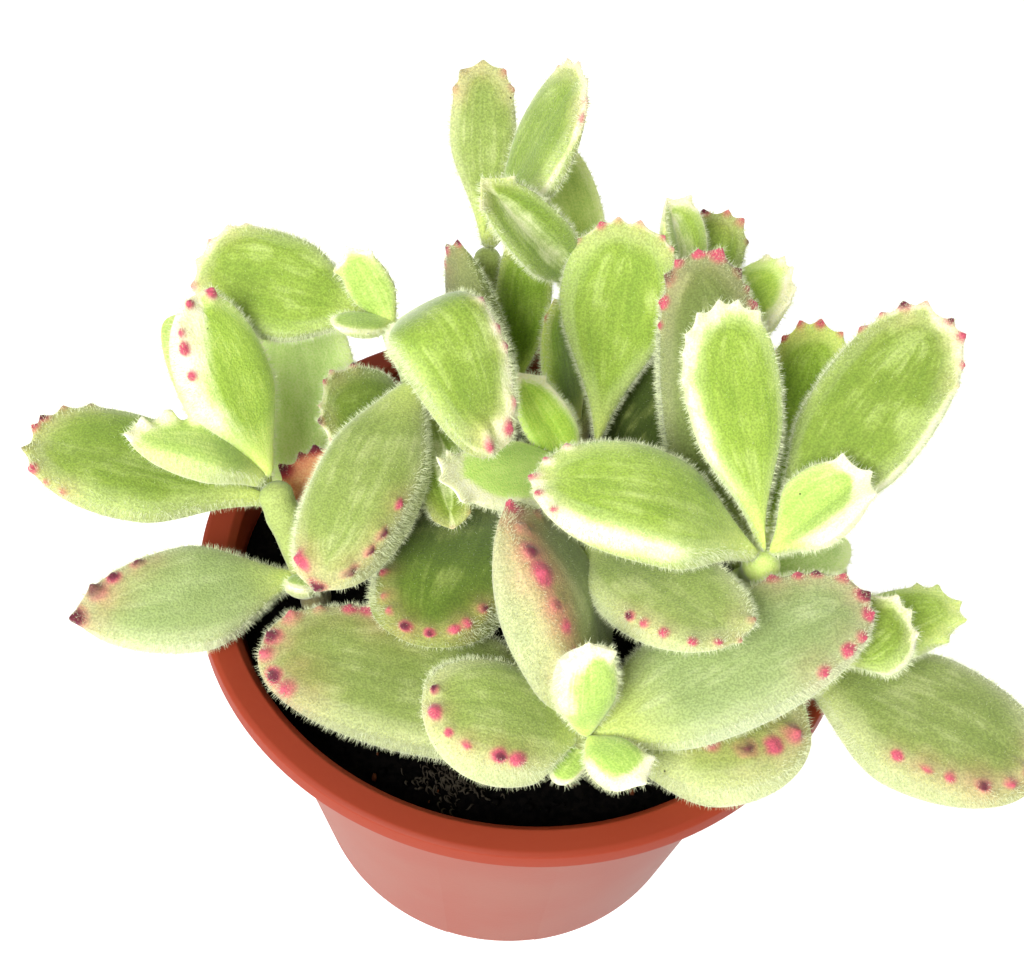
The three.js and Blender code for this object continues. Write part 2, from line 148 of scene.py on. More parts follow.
def joined(parts):
    """Several surfaces as one, each keeping its own points; a value missing on one counts as 0."""
    names = sorted({name for part in parts for name in part["values"]})
    whole = {"points": np.concatenate([part["points"] for part in parts]), "faces": [], "finish": [],
             "values": {}}
    start = 0
    for part in parts:
        whole["faces"] += [faces + start for faces in part["faces"]]
        whole["finish"] += part["finish"]
        start += len(part["points"])
    for name in names:
        width = next(np.shape(p["values"][name])[1:] for p in parts if name in p["values"])
        whole["values"][name] = np.concatenate(
            [np.asarray(p["values"].get(name, np.zeros((len(p["points"]), *width)))) for p in parts])
    return whole


def ring_body(rings, low, high):
    """A closed body from a stack of rings of points (rows, sides, 3), with a point at either end."""
    rows, sides = rings.shape[:2]
    ids = np.arange(rows * sides).reshape(rows, sides)
    beside = np.roll(ids, -1, axis=1)
    quads = np.stack([ids[:-1], beside[:-1], beside[1:], ids[1:]], axis=-1).reshape(-1, 4)
    foot, crown = np.full(sides, ids.size), np.full(sides, ids.size + 1)
    shape = surface(np.concatenate([rings.reshape(-1, 3), [low, high]]), quads)
    shape["faces"].append(np.concatenate([np.stack([foot, beside[0], ids[0]], axis=-1),
                                          np.stack([crown, ids[-1], beside[-1]], axis=-1)]))
    shape["finish"].append(0)
    return shape


def piece_from(name, shape, materials, smooth=True):
    """A mesh object at the origin from a surface: the arrays go in with foreach_set."""
    mesh = bpy.data.meshes.new(name)
    mesh.vertices.add(len(shape["points"]))
    mesh.vertices.foreach_set("co", (shape["points"] * MM).astype(np.float32).ravel())
    corners = np.concatenate([faces.ravel() for faces in shape["faces"]])
    sides = np.concatenate([np.full(len(faces), faces.shape[1]) for faces in shape["faces"]])
    finish = np.concatenate([np.full(len(f), k) for f, k in zip(shape["faces"], shape["finish"])])
    mesh.loops.add(len(corners))
    mesh.loops.foreach_set("vertex_index", corners.astype(np.int32))
    mesh.polygons.add(len(sides))
    mesh.polygons.foreach_set("loop_start", (np.cumsum(sides) - sides).astype(np.int32))
    mesh.polygons.foreach_set("material_index", finish.astype(np.int32))
    mesh.polygons.foreach_set("use_smooth", np.full(len(sides), smooth))
    mesh.update(calc_edges=True)
    for key, value in shape["values"].items():
        value = np.asarray(value, np.float32)
        if value.ndim == 1:
            mesh.attributes.new(key, "FLOAT", "POINT").data.foreach_set("value", value)
        else:
            mesh.attributes.new(key, "FLOAT_VECTOR", "POINT").data.foreach_set("vector", value.ravel())
    for material in materials:
        mesh.materials.append(material)
    piece = bpy.data.objects.new(name, mesh)
    bpy.context.scene.collection.objects.link(piece)
    return piece


def triangles(shape):
    """How many triangles a surface has."""
    return sum(len(faces) * (faces.shape[1] - 2) for faces in shape["faces"])


def smooth_step(low, high, x):
    """0 below low, 1 above high, and an S-shaped rise between them."""
    t = np.clip((x - low) / (high - low), 0, 1)
    return t * t * (3 - 2 * t)


def soft_noise(x, y, seed):
    """Smooth noise from 0 to 1: random values on a unit lattice, blended with an S-shaped weight."""
    table = np.random.default_rng(seed).random((64, 64))
    xi, yi = np.floor(x).astype(int), np.floor(y).astype(int)
    fx, fy = x - xi, y - yi
    fx, fy = fx * fx * (3 - 2 * fx), fy * fy * (3 - 2 * fy)
    corner = lambda i, j: table[(xi + i) % 64, (yi + j) % 64]
    low = corner(0, 0) * (1 - fx) + corner(1, 0) * fx
    high = corner(0, 1) * (1 - fx) + corner(1, 1) * fx
    return low * (1 - fy) + high * fy


# %% [markdown]
# ## The plant's plan
#
# Every stem is a short list of points it passes through, and every leaf is a tip, a width and a
# thickness. These places and sizes are the ones that the frame was built from, so each finished
# leaf lies where its plain solid lies. Named values say what is special about a leaf:
#
# - outline: neck is how narrow the stalk is, full is where the spoon has its full width, paw moves
#   the widest place towards the tip, and point sharpens the ends
# - pose: roll in degrees, bow and sweep in mm upwards and sideways at mid length, fold as a rise
#   per mm from the midline, seat in mm away from the stem
# - claws: tooth is their height and pitch their spacing in mm, runs their number on the left and
#   right margins, lift and slant how far in from the margin they sit
# - colour: skin is the finish, cream the rind in mm on the left, on the right and at the tip,
#   heart a pale midline, knob the paleness of the claws, tone the brightness, partly the leaf's
#   own colour and partly painted light and shade that lifts leaves lying in shadow
# - marks: red is the colour of the claws, blush the flush round them, dark the chance of a dark
#   centre, dab a mark's size, long its length along the margin

# %% Stems: foot on the soil, points above it, radius
STEM_ROOT_MM = 50.0
STEM_COLLAR_MM = 55.5
STEMS = {
    "stem_back_tall": ([-4, 24], [[-5, 31, 70], [-9.2, 30, 82.5]], 1.8),
    "stem_back_young": ([6, 22], [[6, 28, 68], [5, 29, 78]], 1.6),
    "stem_middle": ([7, 11], [[8, 12, 60], [8, 12, 64]], 2.0),
    "stem_back_right": ([16, 20], [[17, 25, 67], [18, 28, 75]], 1.8),
    "stem_right": ([27, -4], [[28, -6, 64], [28, -8, 71]], 2.1),
    "stem_back_left": ([-11, 13], [[-15, 14, 70], [-19, 13, 84]], 1.8),
    "stem_left": ([-27, -7], [[-29, -6, 63], [-32, -3, 71]], 2.0),
    "stem_inner": ([-6, 7], [[-6, 8, 60], [-7, 9, 70]], 1.5),
    "stem_front": ([10, -22], [[9.5, -26, 58], [8, -29, 62]], 1.8),
    "stem_right_low": ([29, -10], [[33, -14, 61], [37, -18, 64.5]], 1.7),
    "stem_centre": ([5, -4], [[6, -3, 61], [6, -3, 68.5]], 1.8),
}
print(len(STEMS), "stems")

# %% Leaves of each stem by number: height on it, tip, width, thickness, teeth, what is special
TOP = "top"
# The brightness value is partly each leaf's own colour and partly painted light and shade.
LEAF_USUAL = dict(neck=0.3, full=0.5, paw=1.15, point=0.4, roll=0, bow=0, sweep=0, fold=0.08, seat=0,
                  tooth=0.9, pitch=2.6, runs=None, lift=0, slant=0, skin="green", cream=(0, 0, 0),
                  heart=0, knob=0, tone=0, red=0.8, blush=0.2, dark=0.25, dab=1, long=1.2)


def leaf(height, tip, width, thick, teeth, **special):
    """A leaf as a dictionary: its own values, and the usual ones for the rest."""
    return {**LEAF_USUAL, **special, "height": height, "tip": tip, "width": width, "thick": thick,
            "teeth": teeth}


# The deep finish is painted shade: a darker copy of the green skin, for leaves that lie in shade.
grey, deep, pale, bright = (partial(leaf, skin=skin) for skin in ("grey", "deep", "pale", "bright"))
# Painted light and shade: leaves lying in shadow, such as 4, 7, 27 and 33, are made brighter, and some
# others, such as 5 and 50, darker.
LEAVES_OF = {}
LEAVES_OF["stem_back_tall"] = {
    1: grey(TOP, [-11, 43, 101.5], 8.5, 3.6, 5, full=0.6, paw=1.5, tooth=0.6, tone=-0.15, red=0.5),
    2: leaf(TOP, [1.5, 33, 107.5], 14, 4, 6, full=0.6, paw=1.7, cream=(0.1, 0.3, 0.4), tone=-0.3,
            red=0.6),
    5: leaf(58, [-12, 23.5, 88.5], 9.5, 4, 5, paw=0.7, point=0.5, roll=60, runs=(0, 3), tone=-0.95,
            red=1, dark=1),
    6: deep(61, [-3.4, 28.2, 88], 7.6, 2.7, 4, bow=-2, seat=1, tone=0.9),
    52: grey(60, [-8, 43, 69], 11, 4, 5, tone=-0.1),
}
LEAVES_OF["stem_back_young"] = {
    3: leaf(TOP, [-9, 19.8, 101], 7.5, 3.5, 3, roll=-80, fold=0.6, cream=(0, 0, 0.2), heart=0.22,
            knob=0.6, tone=-0.1, red=0.3),
    4: grey(74, [-2, 44, 90.5], 11, 3.6, 3, tone=1.5),
    51: grey(62, [12, 41, 70.5], 12, 4, 6, tone=-0.2),
    7: deep(60, [0.6, 21.2, 82], 9.2, 2.6, 3, full=0.4, roll=-50, tone=1.5),
}
LEAVES_OF["stem_middle"] = {
    8: leaf(TOP, [9, 27, 91], 15, 4.5, 6, full=0.7, paw=1.9, cream=(0.15, 0.15, 0.15), tone=-0.1,
            red=0.7),
    33: bright(63, [-10, -4, 75.5], 9.5, 4, 7, roll=-20, tooth=1.9, pitch=1.5, runs=(2, 2),
               cream=(0.9, 0.1, 2.2), knob=1, tone=0.9, red=0),
    32: leaf(61, [-3, 12, 78], 6.6, 3, 3, roll=-60, fold=0.4, seat=0.2, cream=(0, 0.8, 0.2), knob=0.4,
             tone=1.4, red=0.2),
    50: deep(59, [20, 21, 78], 13, 4, 4, full=0.4, tone=-1.2),
}
LEAVES_OF["stem_back_right"] = {
    9: leaf(TOP, [13.5, 31, 92], 9, 3, 3, paw=1.3, fold=0.5, cream=(0, 0.5, 0.3), heart=0.25, tone=0.5,
            red=0.2),
    10: leaf(TOP, [22.5, 37.5, 85.5], 9, 3.5, 5, paw=1.4, tone=-0.4),
    11: leaf(70, [30.5, 28.5, 84.5], 12, 3.5, 5, paw=1.4, cream=(0, 1.2, 0.1), tone=1.1, red=0.4),
}
LEAVES_OF["stem_right"] = {
    12: grey(62, [18, 25, 89], 14.5, 6, 9, full=0.45, paw=0.95, roll=-15, tone=-0.8, red=1, blush=0.1,
             dark=0.3, dab=1.2),
    13: deep(62, [35, 23, 80.5], 13, 4.5, 7, paw=1.5, roll=-20, bow=-3, tone=1.25, red=1, dark=0.3),
    14: leaf(69, [46, 15, 91], 14.5, 5, 8, paw=1.5, cream=(0.3, 0.6, 0.3), tone=-0.45),
    15: pale(59, [41, 4.5, 61.5], 10, 4, 0, tone=1.3),
    16: leaf(TOP, [19, 9, 94.5], 12, 4, 7, paw=2, runs=(5, 2), cream=(0.9, 0, 0.5), knob=0.9, tone=0.2,
             red=0.05),
    17: bright(TOP, [38, -3, 81.5], 9.5, 4, 3, fold=0.5, cream=(0.3, 1.8, 1.2), tone=0.1, red=0.05),
    18: leaf(TOP, [0, -6, 79.5], 15, 6, 5, full=0.4, paw=1.3, point=0.45, bow=3, runs=(2, 2), lift=0.3,
             cream=(1.05, 0, 0.1), tone=0.15, dark=0.1, dab=0.8),
}
LEAVES_OF["stem_back_left"] = {
    19: leaf(TOP, [-42.5, 16, 88.5], 13, 5, 7, paw=1.5, roll=-30, bow=0.5, seat=0.3, tooth=0.6,
             cream=(0.1, 0.4, 0.5), tone=-0.25, red=0.6),
    22: leaf(TOP, [-4.8, -2.5, 80.5], 11.2, 7.5, 6, full=0.35, roll=15, bow=11, sweep=1.2, pitch=3,
             runs=(5, 1), lift=0.5, cream=(1.2, 0.1, 0.2), tone=-0.2, red=0.9, dark=0.1, dab=0.75),
    30: grey(74, [-24, -16.5, 70], 12.5, 8, 7, neck=0.6, full=0.4, pitch=3.7, runs=(4, 1), lift=0.9,
             tone=-0.15, red=1, blush=0.3, dab=0.85, long=2),
    29: leaf(66, [-27.5, 8.5, 73], 13.5, 3.5, 7, roll=-25, cream=(0.2, 0.3, 0.2), tone=-0.65, red=0.9,
             dab=0.8),
    28: leaf(60, [-31, -0.2, 67], 8.5, 3.5, 5, roll=-30, bow=1, seat=0.9, tooth=1.3, pitch=2.4,
             runs=(1, 3), skin="rust", tone=0.7, red=1, blush=0.3, dark=0.8, dab=1.1),
    31: leaf(68, [-9.6, -4.5, 67.5], 7, 4, 3, neck=0.5, fold=0.3, tooth=0.3, cream=(0, 0, 0.1),
             heart=0.15, tone=-0.3, red=0.5),
}
LEAVES_OF["stem_left"] = {
    23: leaf(TOP, [-40.5, 6, 92], 11.3, 6, 8, neck=0.45, paw=1.2, roll=15, pitch=3, runs=(4, 1),
             lift=0.4, cream=(2.2, 0.1, 0.3), tone=0.85, red=1, dark=0.05, dab=0.85),
    24: leaf(67, [-46, 12, 83], 8, 3, 0, seat=0.2, tone=0.2),
    25: leaf(70, [-59, -5, 77.5], 14.5, 5, 8, paw=1.5, tone=-0.3),
    26: bright(TOP, [-46, -7.5, 82.5], 6.5, 5, 5, bow=1.5, tooth=1.1, pitch=1.9, runs=(0, 5), lift=0.7,
               knob=1, tone=0.1, red=0.03),
    27: pale(57, [-33, 22, 80], 15, 4, 0, paw=1.3, bow=-5, tone=1.5),
    36: pale(59, [-51.5, -21, 65.4], 13, 5.6, 7, paw=0.9, point=0.55, roll=-15, pitch=3.4, runs=(0, 3),
             lift=0.8, tone=-0.05, red=1, blush=0.5, dark=0.9, dab=1.7),
}
LEAVES_OF["stem_inner"] = {
    35: deep(60, [-12.5, -19.5, 64.5], 16.6, 7, 8, full=0.35, pitch=3, lift=1.2, tone=-0.45, red=1,
             blush=0.3, dark=0.35, dab=0.9),
}
LEAVES_OF["stem_centre"] = {
    42: grey(67, [23.3, -22.7, 75.2], 14, 5.1, 7, neck=0.45, full=0.3, seat=0.8, pitch=2.8, runs=(1, 5),
             lift=0.6, tone=-0.1, red=0.9, dab=0.9),
}
LEAVES_OF["stem_front"] = {
    34: grey(57, [-2.6, -8.5, 77], 17.9, 9.3, 7, neck=0.55, full=0.3, paw=0.9, roll=42, bow=0.9,
             sweep=-1, pitch=3.7, runs=(8, 1), lift=1.8, tone=-0.3, red=1, blush=0.7, dark=0.5,
             dab=1.6),
    38: grey(61, [-10.3, -29.2, 67.2], 13.9, 7, 8, neck=0.5, full=0.3, pitch=3.3, runs=(5, 1), lift=1,
             red=1, blush=0.3, dark=0.2, dab=0.95, long=1.3),
    37: grey(57, [-31, -18.5, 59.3], 17.1, 5.6, 8, full=0.35, roll=-4, pitch=3.4, runs=(3, 6), lift=0.9,
             tone=-0.4, red=1, blush=0.3, dark=0.3, dab=1.8),
    43: pale(TOP, [39, -13, 72], 15, 6, 9, neck=0.65, full=0.3, bow=0.5, pitch=3, lift=0.4, tone=-0.3,
             red=1, blush=0.3, dark=0.4, dab=1.3),
    44: grey(58, [34, -24, 61.5], 17, 7, 6, neck=0.5, pitch=5, runs=(0, 4), lift=1.5, slant=0.2,
             tone=-0.1, red=1, blush=0.3, dark=0.3, dab=1.8),
    39: bright(TOP, [7, -25.5, 75.5], 7, 5, 3, neck=0.6, cream=(1.8, 0.4, 0.9), tone=0.1, red=0),
    40: bright(TOP, [14, -36, 66], 6, 4, 3, neck=0.6, full=0.35, cream=(0.8, 0.8, 1.8), tone=0.3,
               red=0),
}
LEAVES_OF["stem_right_low"] = {
    45: leaf(TOP, [44, -14.5, 71], 10, 4, 3, cream=(0.4, 0.4, 0.5), tone=-0.4, red=0.2),
    46: leaf(63, [52, -9, 66.5], 9, 4, 5, neck=0.5, tone=0.45, red=0.2),
    47: grey(61, [59, -30, 64.5], 18, 6.5, 8, neck=0.35, full=0.55, seat=0.2, pitch=3.4, runs=(1, 6),
             lift=1.4, tone=-0.3, red=1, blush=0.4, dark=0.1, dab=1.1),
}
LEAVES = [("leaf_%02d" % number, stem, row) for stem, rows in LEAVES_OF.items()
          for number, row in rows.items()]
BUDS = [
    ("stem_back_left", bright(TOP, [-24, 15, 93], 5.5, 2.4, 3, roll=-60, cream=(0.2, 0.2, 0.3), red=0)),
    ("stem_back_left", bright(TOP, [-25.2, 7.5, 88.3], 4, 2.4, 0, cream=(0.3, 0.3, 0.3))),
    ("stem_middle", leaf(TOP, [8, 9.5, 69], 4, 3.4, 3, skin="dry", red=0)),
    ("stem_front", bright(60, [5, -34, 60], 3.5, 2.4, 0, cream=(0.3, 0.3, 0.3))),
    ("stem_left", bright(58, [-28, -12, 62], 4, 3, 0, cream=(0.3, 0.3, 0.3))),
]
print(len(LEAVES), "leaves and", len(BUDS), "buds")

# %% [markdown]
# ## The path of a stem
#
# A stem passes through its few points on a centripetal Catmull-Rom curve: between two points the
# curve is a cubic whose end slopes come from the neighbours on either side, and the square root of
# the distance between points keeps it from looping.

# %% Curve through points


def stem_points(name):
    """All the points of a stem, from its sunk root upwards, in mm."""
    (x, y), rest, _ = STEMS[name]
    return np.array([[x, y, STEM_ROOT_MM], [x, y, STEM_COLLAR_MM], *rest], float)


def curve_at(points, t):
    """Points on the centripetal Catmull-Rom curve for parameters t from 0 to 1 (an array)."""
    t = np.atleast_1d(np.asarray(t, float))
    spans = len(points) - 1
    span = np.clip(np.floor(t * spans).astype(int), 0, spans - 1)
    w = (t * spans - span)[:, None]
    padded = np.vstack([2 * points[0] - points[1], points, 2 * points[-1] - points[-2]])
    p0, p1, p2, p3 = (padded[span + i] for i in range(4))
    gap = lambda a, b: np.sqrt(np.linalg.norm(b - a, axis=1))[:, None]
    d0, d1, d2 = gap(p0, p1), gap(p1, p2), gap(p2, p3)
    slope1 = ((p1 - p0) / d0 - (p2 - p0) / (d0 + d1) + (p2 - p1) / d1) * d1
    slope2 = ((p2 - p1) / d1 - (p3 - p1) / (d1 + d2) + (p3 - p2) / d2) * d1
    c2 = -3 * p1 + 3 * p2 - 2 * slope1 - slope2
    c3 = 2 * p1 - 2 * p2 + slope1 + slope2
    return p1 + slope1 * w + c2 * w ** 2 + c3 * w ** 3


def leaf_base(stem, height, tip, extra):
    """Where a leaf starts: beside the stem at a height, or round the stem's tip."""
    points, radius = stem_points(stem), STEMS[stem][2]
    t = np.linspace(0, 1, 801)
    path = curve_at(points, t)
    if height == TOP:
        centre, along = path[-1], np.zeros(3)
    else:
        i = min(int(np.searchsorted(path[:, 2], height)), len(t) - 2)
        centre = path[i]
        along = path[i + 1] - path[i - 1]
        along /= np.linalg.norm(along)
    away = tip - centre
    away = away - along * (away @ along)
    away /= np.linalg.norm(away)
    return centre + away * (radius + extra)


print("tip of stem_right:", np.round(curve_at(stem_points("stem_right"), 1.0)[0], 2))

# %% [markdown]
# ## One leaf
#
# A bear's paw leaf is a narrow stalk that swells into a fat spoon. Seen from above, its outline is
# an oval whose half width is narrowed towards the stalk. From the side it is a lens, fuller below
# than above, because the flat upper face is where it clasped its partner in the bud. Each claw is a
# small cone pushed outwards from the margin, and a lathe or a box could give none of this, so the
# leaf is written as a function of two parameters: how far round the margin, and how far round the
# section from the middle of the upper face, over the margin, to the middle of the lower face.

# %% Leaf outline and claws
CLAW_RADIUS_MM = 0.62
SINK_MM = 1.5                # how far the stalk is sunk into its stem
SECTION_STEPS = 11           # rows of points from the middle of a face to the margin
SECTION_POWER = 2.3          # 2 is an ellipse, more is fuller
STATION_MM = 0.3             # spacing of the rows of points along the clawed margin
CLAW_WANDER_MM = 0.7         # how far a claw may stray from its regular place
SPINE = (0.07, 0.79)         # where the rows start on the midline: from, and over how much of it
STALK_THICK_MM = 2.4
UPPER_SHARE = 0.4            # of the thickness lies above the margin, on the flatter face
LUMP_MM = 0.3                # height of the faces' soft unevenness


def half_outline(length, width, neck, full, paw, point):
    """Half of the outline from the tip back: x, half width y, and distance d along the margin.

    s = (1 - cos a) / 2 runs from stalk to tip, and spread rises from neck to 1 by the time s
    reaches full. y = width / 2 * (4 p (1 - p))^point * spread with p = s^paw, so the leaf is
    widest at the middle for paw 1 and nearer the tip for more; point above 0.4 sharpens the ends.
    """
    a = np.linspace(0, np.pi, 361)
    s = (1 - np.cos(a)) / 2
    spread = neck + (1 - neck) * smooth_step(0, full, s)
    p = s ** paw
    x, y = length * s, width / 2 * np.maximum(4 * p * (1 - p), 0) ** point * spread
    steps = np.hypot(np.diff(x), np.diff(y))[::-1]
    return x[::-1], y[::-1], np.concatenate([[0], np.cumsum(steps)])


def claw_places(leaf):
    """Distance back from the tip, side (+1, -1, or 0 at the very tip) and height of each claw."""
    odd = leaf["teeth"] % 2
    claws = [(0.0, 0, leaf["tooth"])] if odd else []
    for side, count in zip((1, -1), leaf["runs"] or (leaf["teeth"] // 2,) * 2):
        claws += [((i + (1 if odd else 0.5)) * leaf["pitch"], side, leaf["tooth"] * (1 - 0.5 * i / count))
                  for i in range(count)]
    return claws


def leaf_surface(stem, leaf, inset, seed):
    """A leaf as a closed surface, with the values its skin is coloured by."""
    rng = np.random.default_rng(seed)
    # The leaf's own axes: along it to the tip, across it to its left, and up out of its face
    tip = np.array(leaf["tip"], float)
    start = leaf_base(stem, leaf["height"], tip, inset + leaf["seat"])
    axis = (tip - start) / np.linalg.norm(tip - start)
    start = start - axis * SINK_MM
    length = np.linalg.norm(tip - start)
    level_up = np.array([0, 0, 1.0]) - axis * axis[2]
    level_up /= np.linalg.norm(level_up)
    level_side = np.cross(level_up, axis)
    roll = math.radians(leaf["roll"])
    up = math.cos(roll) * level_up - math.sin(roll) * level_side
    side = np.cross(up, axis)

    # Stations back along the margin, closest where the claws are, and the same on the other side
    x, y, d = half_outline(length, *(leaf[key] for key in ("width", "neck", "full", "paw", "point")))
    margin = lambda place: (np.interp(place, d, x), np.interp(place, d, y))
    claws = claw_places(leaf)
    zone = max([c[0] for c in claws], default=0) + leaf["pitch"]
    stations = np.concatenate([np.arange(0, zone - STATION_MM / 2, STATION_MM),
                               np.linspace(zone, d[-1], max(8, int((d[-1] - zone) / 0.9)))])
    edge_x, edge_y = margin(stations)
    edge_x[-1], edge_y[-1], edge_y[0] = 0, 0, 0
    last = len(stations) - 1
    ring = np.concatenate([np.arange(last + 1), np.arange(last - 1, 0, -1)])
    hand = np.where(np.arange(len(ring)) <= last, 1.0, -1.0)[:, None]
    ex, ey = edge_x[ring][:, None], edge_y[ring][:, None]
    spine = length * (SPINE[0] + SPINE[1] * ex / length)

    # The section at each station: from the middle of the upper face, over the margin, to below
    quarter = (np.pi / 2) * np.linspace(0, 1, SECTION_STEPS + 1) ** 1.35
    angle = np.concatenate([quarter[::-1], -quarter[1:]])[None, :]
    t = np.cos(angle)
    hull = 0.5 * min(1, leaf["thick"] / 7)
    below = np.maximum(0, -angle)
    reach = t + hull * np.sin(2 * below) * np.sin(below)
    px = spine + (ex - spine) * reach
    py = hand * ey * reach
    s = np.clip(px / length, 0, 1)
    stalk = min(STALK_THICK_MM, leaf["thick"]) * (1 - s)
    swell = stalk + (leaf["thick"] - stalk) * np.sin(np.pi * s ** 1.1 * 0.94 + 0.06)
    share = np.where(angle > 0, UPPER_SHARE, UPPER_SHARE - 1)
    pz = share * swell * np.sqrt(np.maximum(0, 1 - np.abs(t) ** SECTION_POWER))
    pz = pz + LUMP_MM * (soft_noise(px / 7 + 9, py / 5 + 9, seed) - 0.5) * smooth_step(2, 8, px)

    # Claws: each pushes a cone out of the surface and colours the skin round itself
    to_edge = np.sqrt((px - ex) ** 2 + (py - hand * ey) ** 2 + pz ** 2)
    tooth, blush, ripe, knob = (np.zeros_like(px) for _ in range(4))
    shift = np.zeros((3, *px.shape))
    for place, which, height in claws:
        if which:
            place += rng.uniform(-CLAW_WANDER_MM, CLAW_WANDER_MM)
        (cx, cy), (next_x, next_y) = margin(place), margin(place + STATION_MM)
        outward = np.array([next_y - cy, (cx - next_x) * which]) if which else np.array([1.0, 0])
        cy = cy * which
        outward /= np.linalg.norm(outward)
        lift = (leaf["lift"] + leaf["slant"] * place) * abs(which)
        cx, cy = cx - lift * outward[0], cy - lift * outward[1]
        flat = (px - cx) ** 2 + (py - cy) ** 2
        near = np.argmin(flat + 99.0 * (np.broadcast_to(angle, px.shape) < 0))
        r = np.sqrt(flat + (0.9 * (pz - pz.flat[near])) ** 2)
        size = rng.uniform(0.75, 1.3)
        cone = height * size * np.exp(-(r / (CLAW_RADIUS_MM * size)) ** 1.6)
        shift += cone * np.array([outward[0], outward[1], 0.25 + 0.5 * min(1, lift)])[:, None, None]
        along = (py - cy) * outward[0] - (px - cx) * outward[1]
        long = leaf["long"] * rng.uniform(0.85, 1.15)
        mark = np.sqrt(r ** 2 - along ** 2 * (1 - 1 / long ** 2)) / (size * leaf["dab"])
        tooth = np.maximum(tooth, leaf["red"] * rng.uniform(0.55, 1.0) * np.exp(-(mark / 0.8) ** 2))
        ripe = np.maximum(ripe, (rng.random() < leaf["dark"]) * np.exp(-(mark / 0.6) ** 2))
        knob = np.maximum(knob, 1.15 * np.exp(-(r / (1.1 * leaf["dab"])) ** 2))
        flush = leaf["blush"] * min(1, 2.5 * leaf["red"])
        blush = np.maximum(blush, flush * rng.uniform(0.5, 1.0) * np.exp(-(mark / 1.7) ** 2))

    # The flat leaf is folded, bowed and swept, and set in its place
    across = np.where(ey > 0.3, py / np.maximum(np.abs(ey), 0.3), 0)
    qx, qy, qz = px + shift[0], py + shift[1], pz + shift[2]
    arch = np.sin(np.pi * np.clip(px, 0, length) / length)
    height = qz + leaf["fold"] * np.abs(qy) + leaf["bow"] * arch
    places = (start + qx[..., None] * axis + (qy + leaf["sweep"] * arch)[..., None] * side
              + height[..., None] * up)

    # A cream rind, as wide as each side and the tip ask for, a pale heart, and cream claws
    one_side, other_side, at_tip = leaf["cream"]
    rind = other_side + (one_side - other_side) * smooth_step(-0.6, 0.6, across)
    rind = rind + at_tip * smooth_step(0.8, 1.0, s)
    cream = smooth_step(2.4, 0.2, to_edge / np.maximum(rind, 0.05)) * smooth_step(0.15, 0.5, s)
    cream = cream * smooth_step(0.05, 0.4, rind)
    middle = smooth_step(leaf["heart"], 0.3 * leaf["heart"] - 0.01, np.abs(across) * t)
    cream = np.maximum(cream, 0.6 * middle * smooth_step(0.1, 0.4, s) * (leaf["heart"] > 0))
    cream = np.maximum(cream, knob * max(leaf["knob"], min(1, max(leaf["cream"]))))
    edge = smooth_step(0.0, 0.3 * leaf["width"], to_edge)

    # Faces between neighbouring rows; both sides of the leaf share the points of the midline
    rows, columns = px.shape
    ids = np.arange(rows * columns).reshape(rows, columns)
    mirror = (-np.arange(rows)) % rows
    left = np.arange(rows) > last
    ids[left, 0] = ids[mirror[left], 0]
    ids[left, -1] = ids[mirror[left], -1]
    after = np.roll(ids, -1, axis=0)
    faces = np.stack([ids[:, :-1], ids[:, 1:], after[:, 1:], after[:, :-1]], axis=-1).reshape(-1, 4)
    used, faces = np.unique(faces, return_inverse=True)
    pick = lambda value: np.broadcast_to(value, px.shape).reshape(-1)[used]
    streak = np.stack([pick(px) * 0.06, pick(across) * 3.2, np.full(len(used), seed * 0.37)], axis=-1)
    # Each leaf's brightness value goes with it, partly its own colour and partly painted light and shade.
    return surface(
        places.reshape(-1, 3)[used], faces.reshape(-1, 4), SKINS.index(leaf["skin"]),
        tooth=pick(tooth), blush=pick(blush), ripe=pick(ripe), cream=pick(cream), edge=pick(edge),
        face=pick(np.sin(angle)), tone=np.full(len(used), leaf["tone"]),
        stalk=pick(1 - smooth_step(0.05, 0.35, s)), streak=streak)


SKIN_SHADES = {
    "green": ("velvet_leaf_green", 0x74952a, 0xb4cc58, 0xbcc87c, 0xd8e69a),
    "grey": ("velvet_leaf_grey", 0x7c943a, 0xb8c676, 0xc8d09c, 0xdce0a6),
    # Painted shade: the deep finish is a darker copy of the green, for leaves that lie in shade.
    "deep": ("velvet_leaf_deep", 0x557018, 0x8ca83c, 0xa3b062, 0xc2cc78),
    "rust": ("velvet_leaf_ripe", 0xb87850, 0xdcb07c, 0xc89c68, 0xd8846a, 0xc8bc70, 0xc25a50, 0xa03038),
    "dry": ("dried_bud", 0x9a7b52, 0xcdb98a, 0xa98d60, 0xc8b48a, 0xb9a877),
    "stem": ("velvet_stem_skin", 0x8d8450, 0xaaa066, 0x9d9458, 0x9d9458, 0xa8b868),
    "bright": ("velvet_leaf_bright", 0x94b84a, 0xc8dc7c, 0xccd692, 0xe6eca6),
    "pale": ("velvet_leaf_pale", 0x92a860, 0xbacb8a, 0xd8e2b6, 0xd4dca8),
}
SKINS = list(SKIN_SHADES)


def outward(shape):
    """The surface with its faces turned outwards: the enclosed volume must come out positive."""
    volume = 0.0
    for faces in shape["faces"]:
        a, b, c = (shape["points"][faces[:, i]] for i in range(3))
        volume += np.einsum("ij,ij->i", a, np.cross(b, c)).sum()
        if faces.shape[1] == 4:
            e = shape["points"][faces[:, 3]]
            volume += np.einsum("ij,ij->i", a, np.cross(c, e)).sum()
    if volume < 0:
        shape["faces"] = [faces[:, ::-1] for faces in shape["faces"]]
    return shape


# %% [markdown]
# ## Finishes of the living skin
#
# The skin is a thin, soft, water-filled tissue under a coat of white hair, so it scatters light a
# millimetre or so deep, has no sharp shine, and shows a pale sheen at grazing angles. Its colour
# is a mix: green that runs in streaks along the leaf, cream towards the margin where the
# variegated tissue has no green, a magenta flush round the claws, and the odd speck of soil.

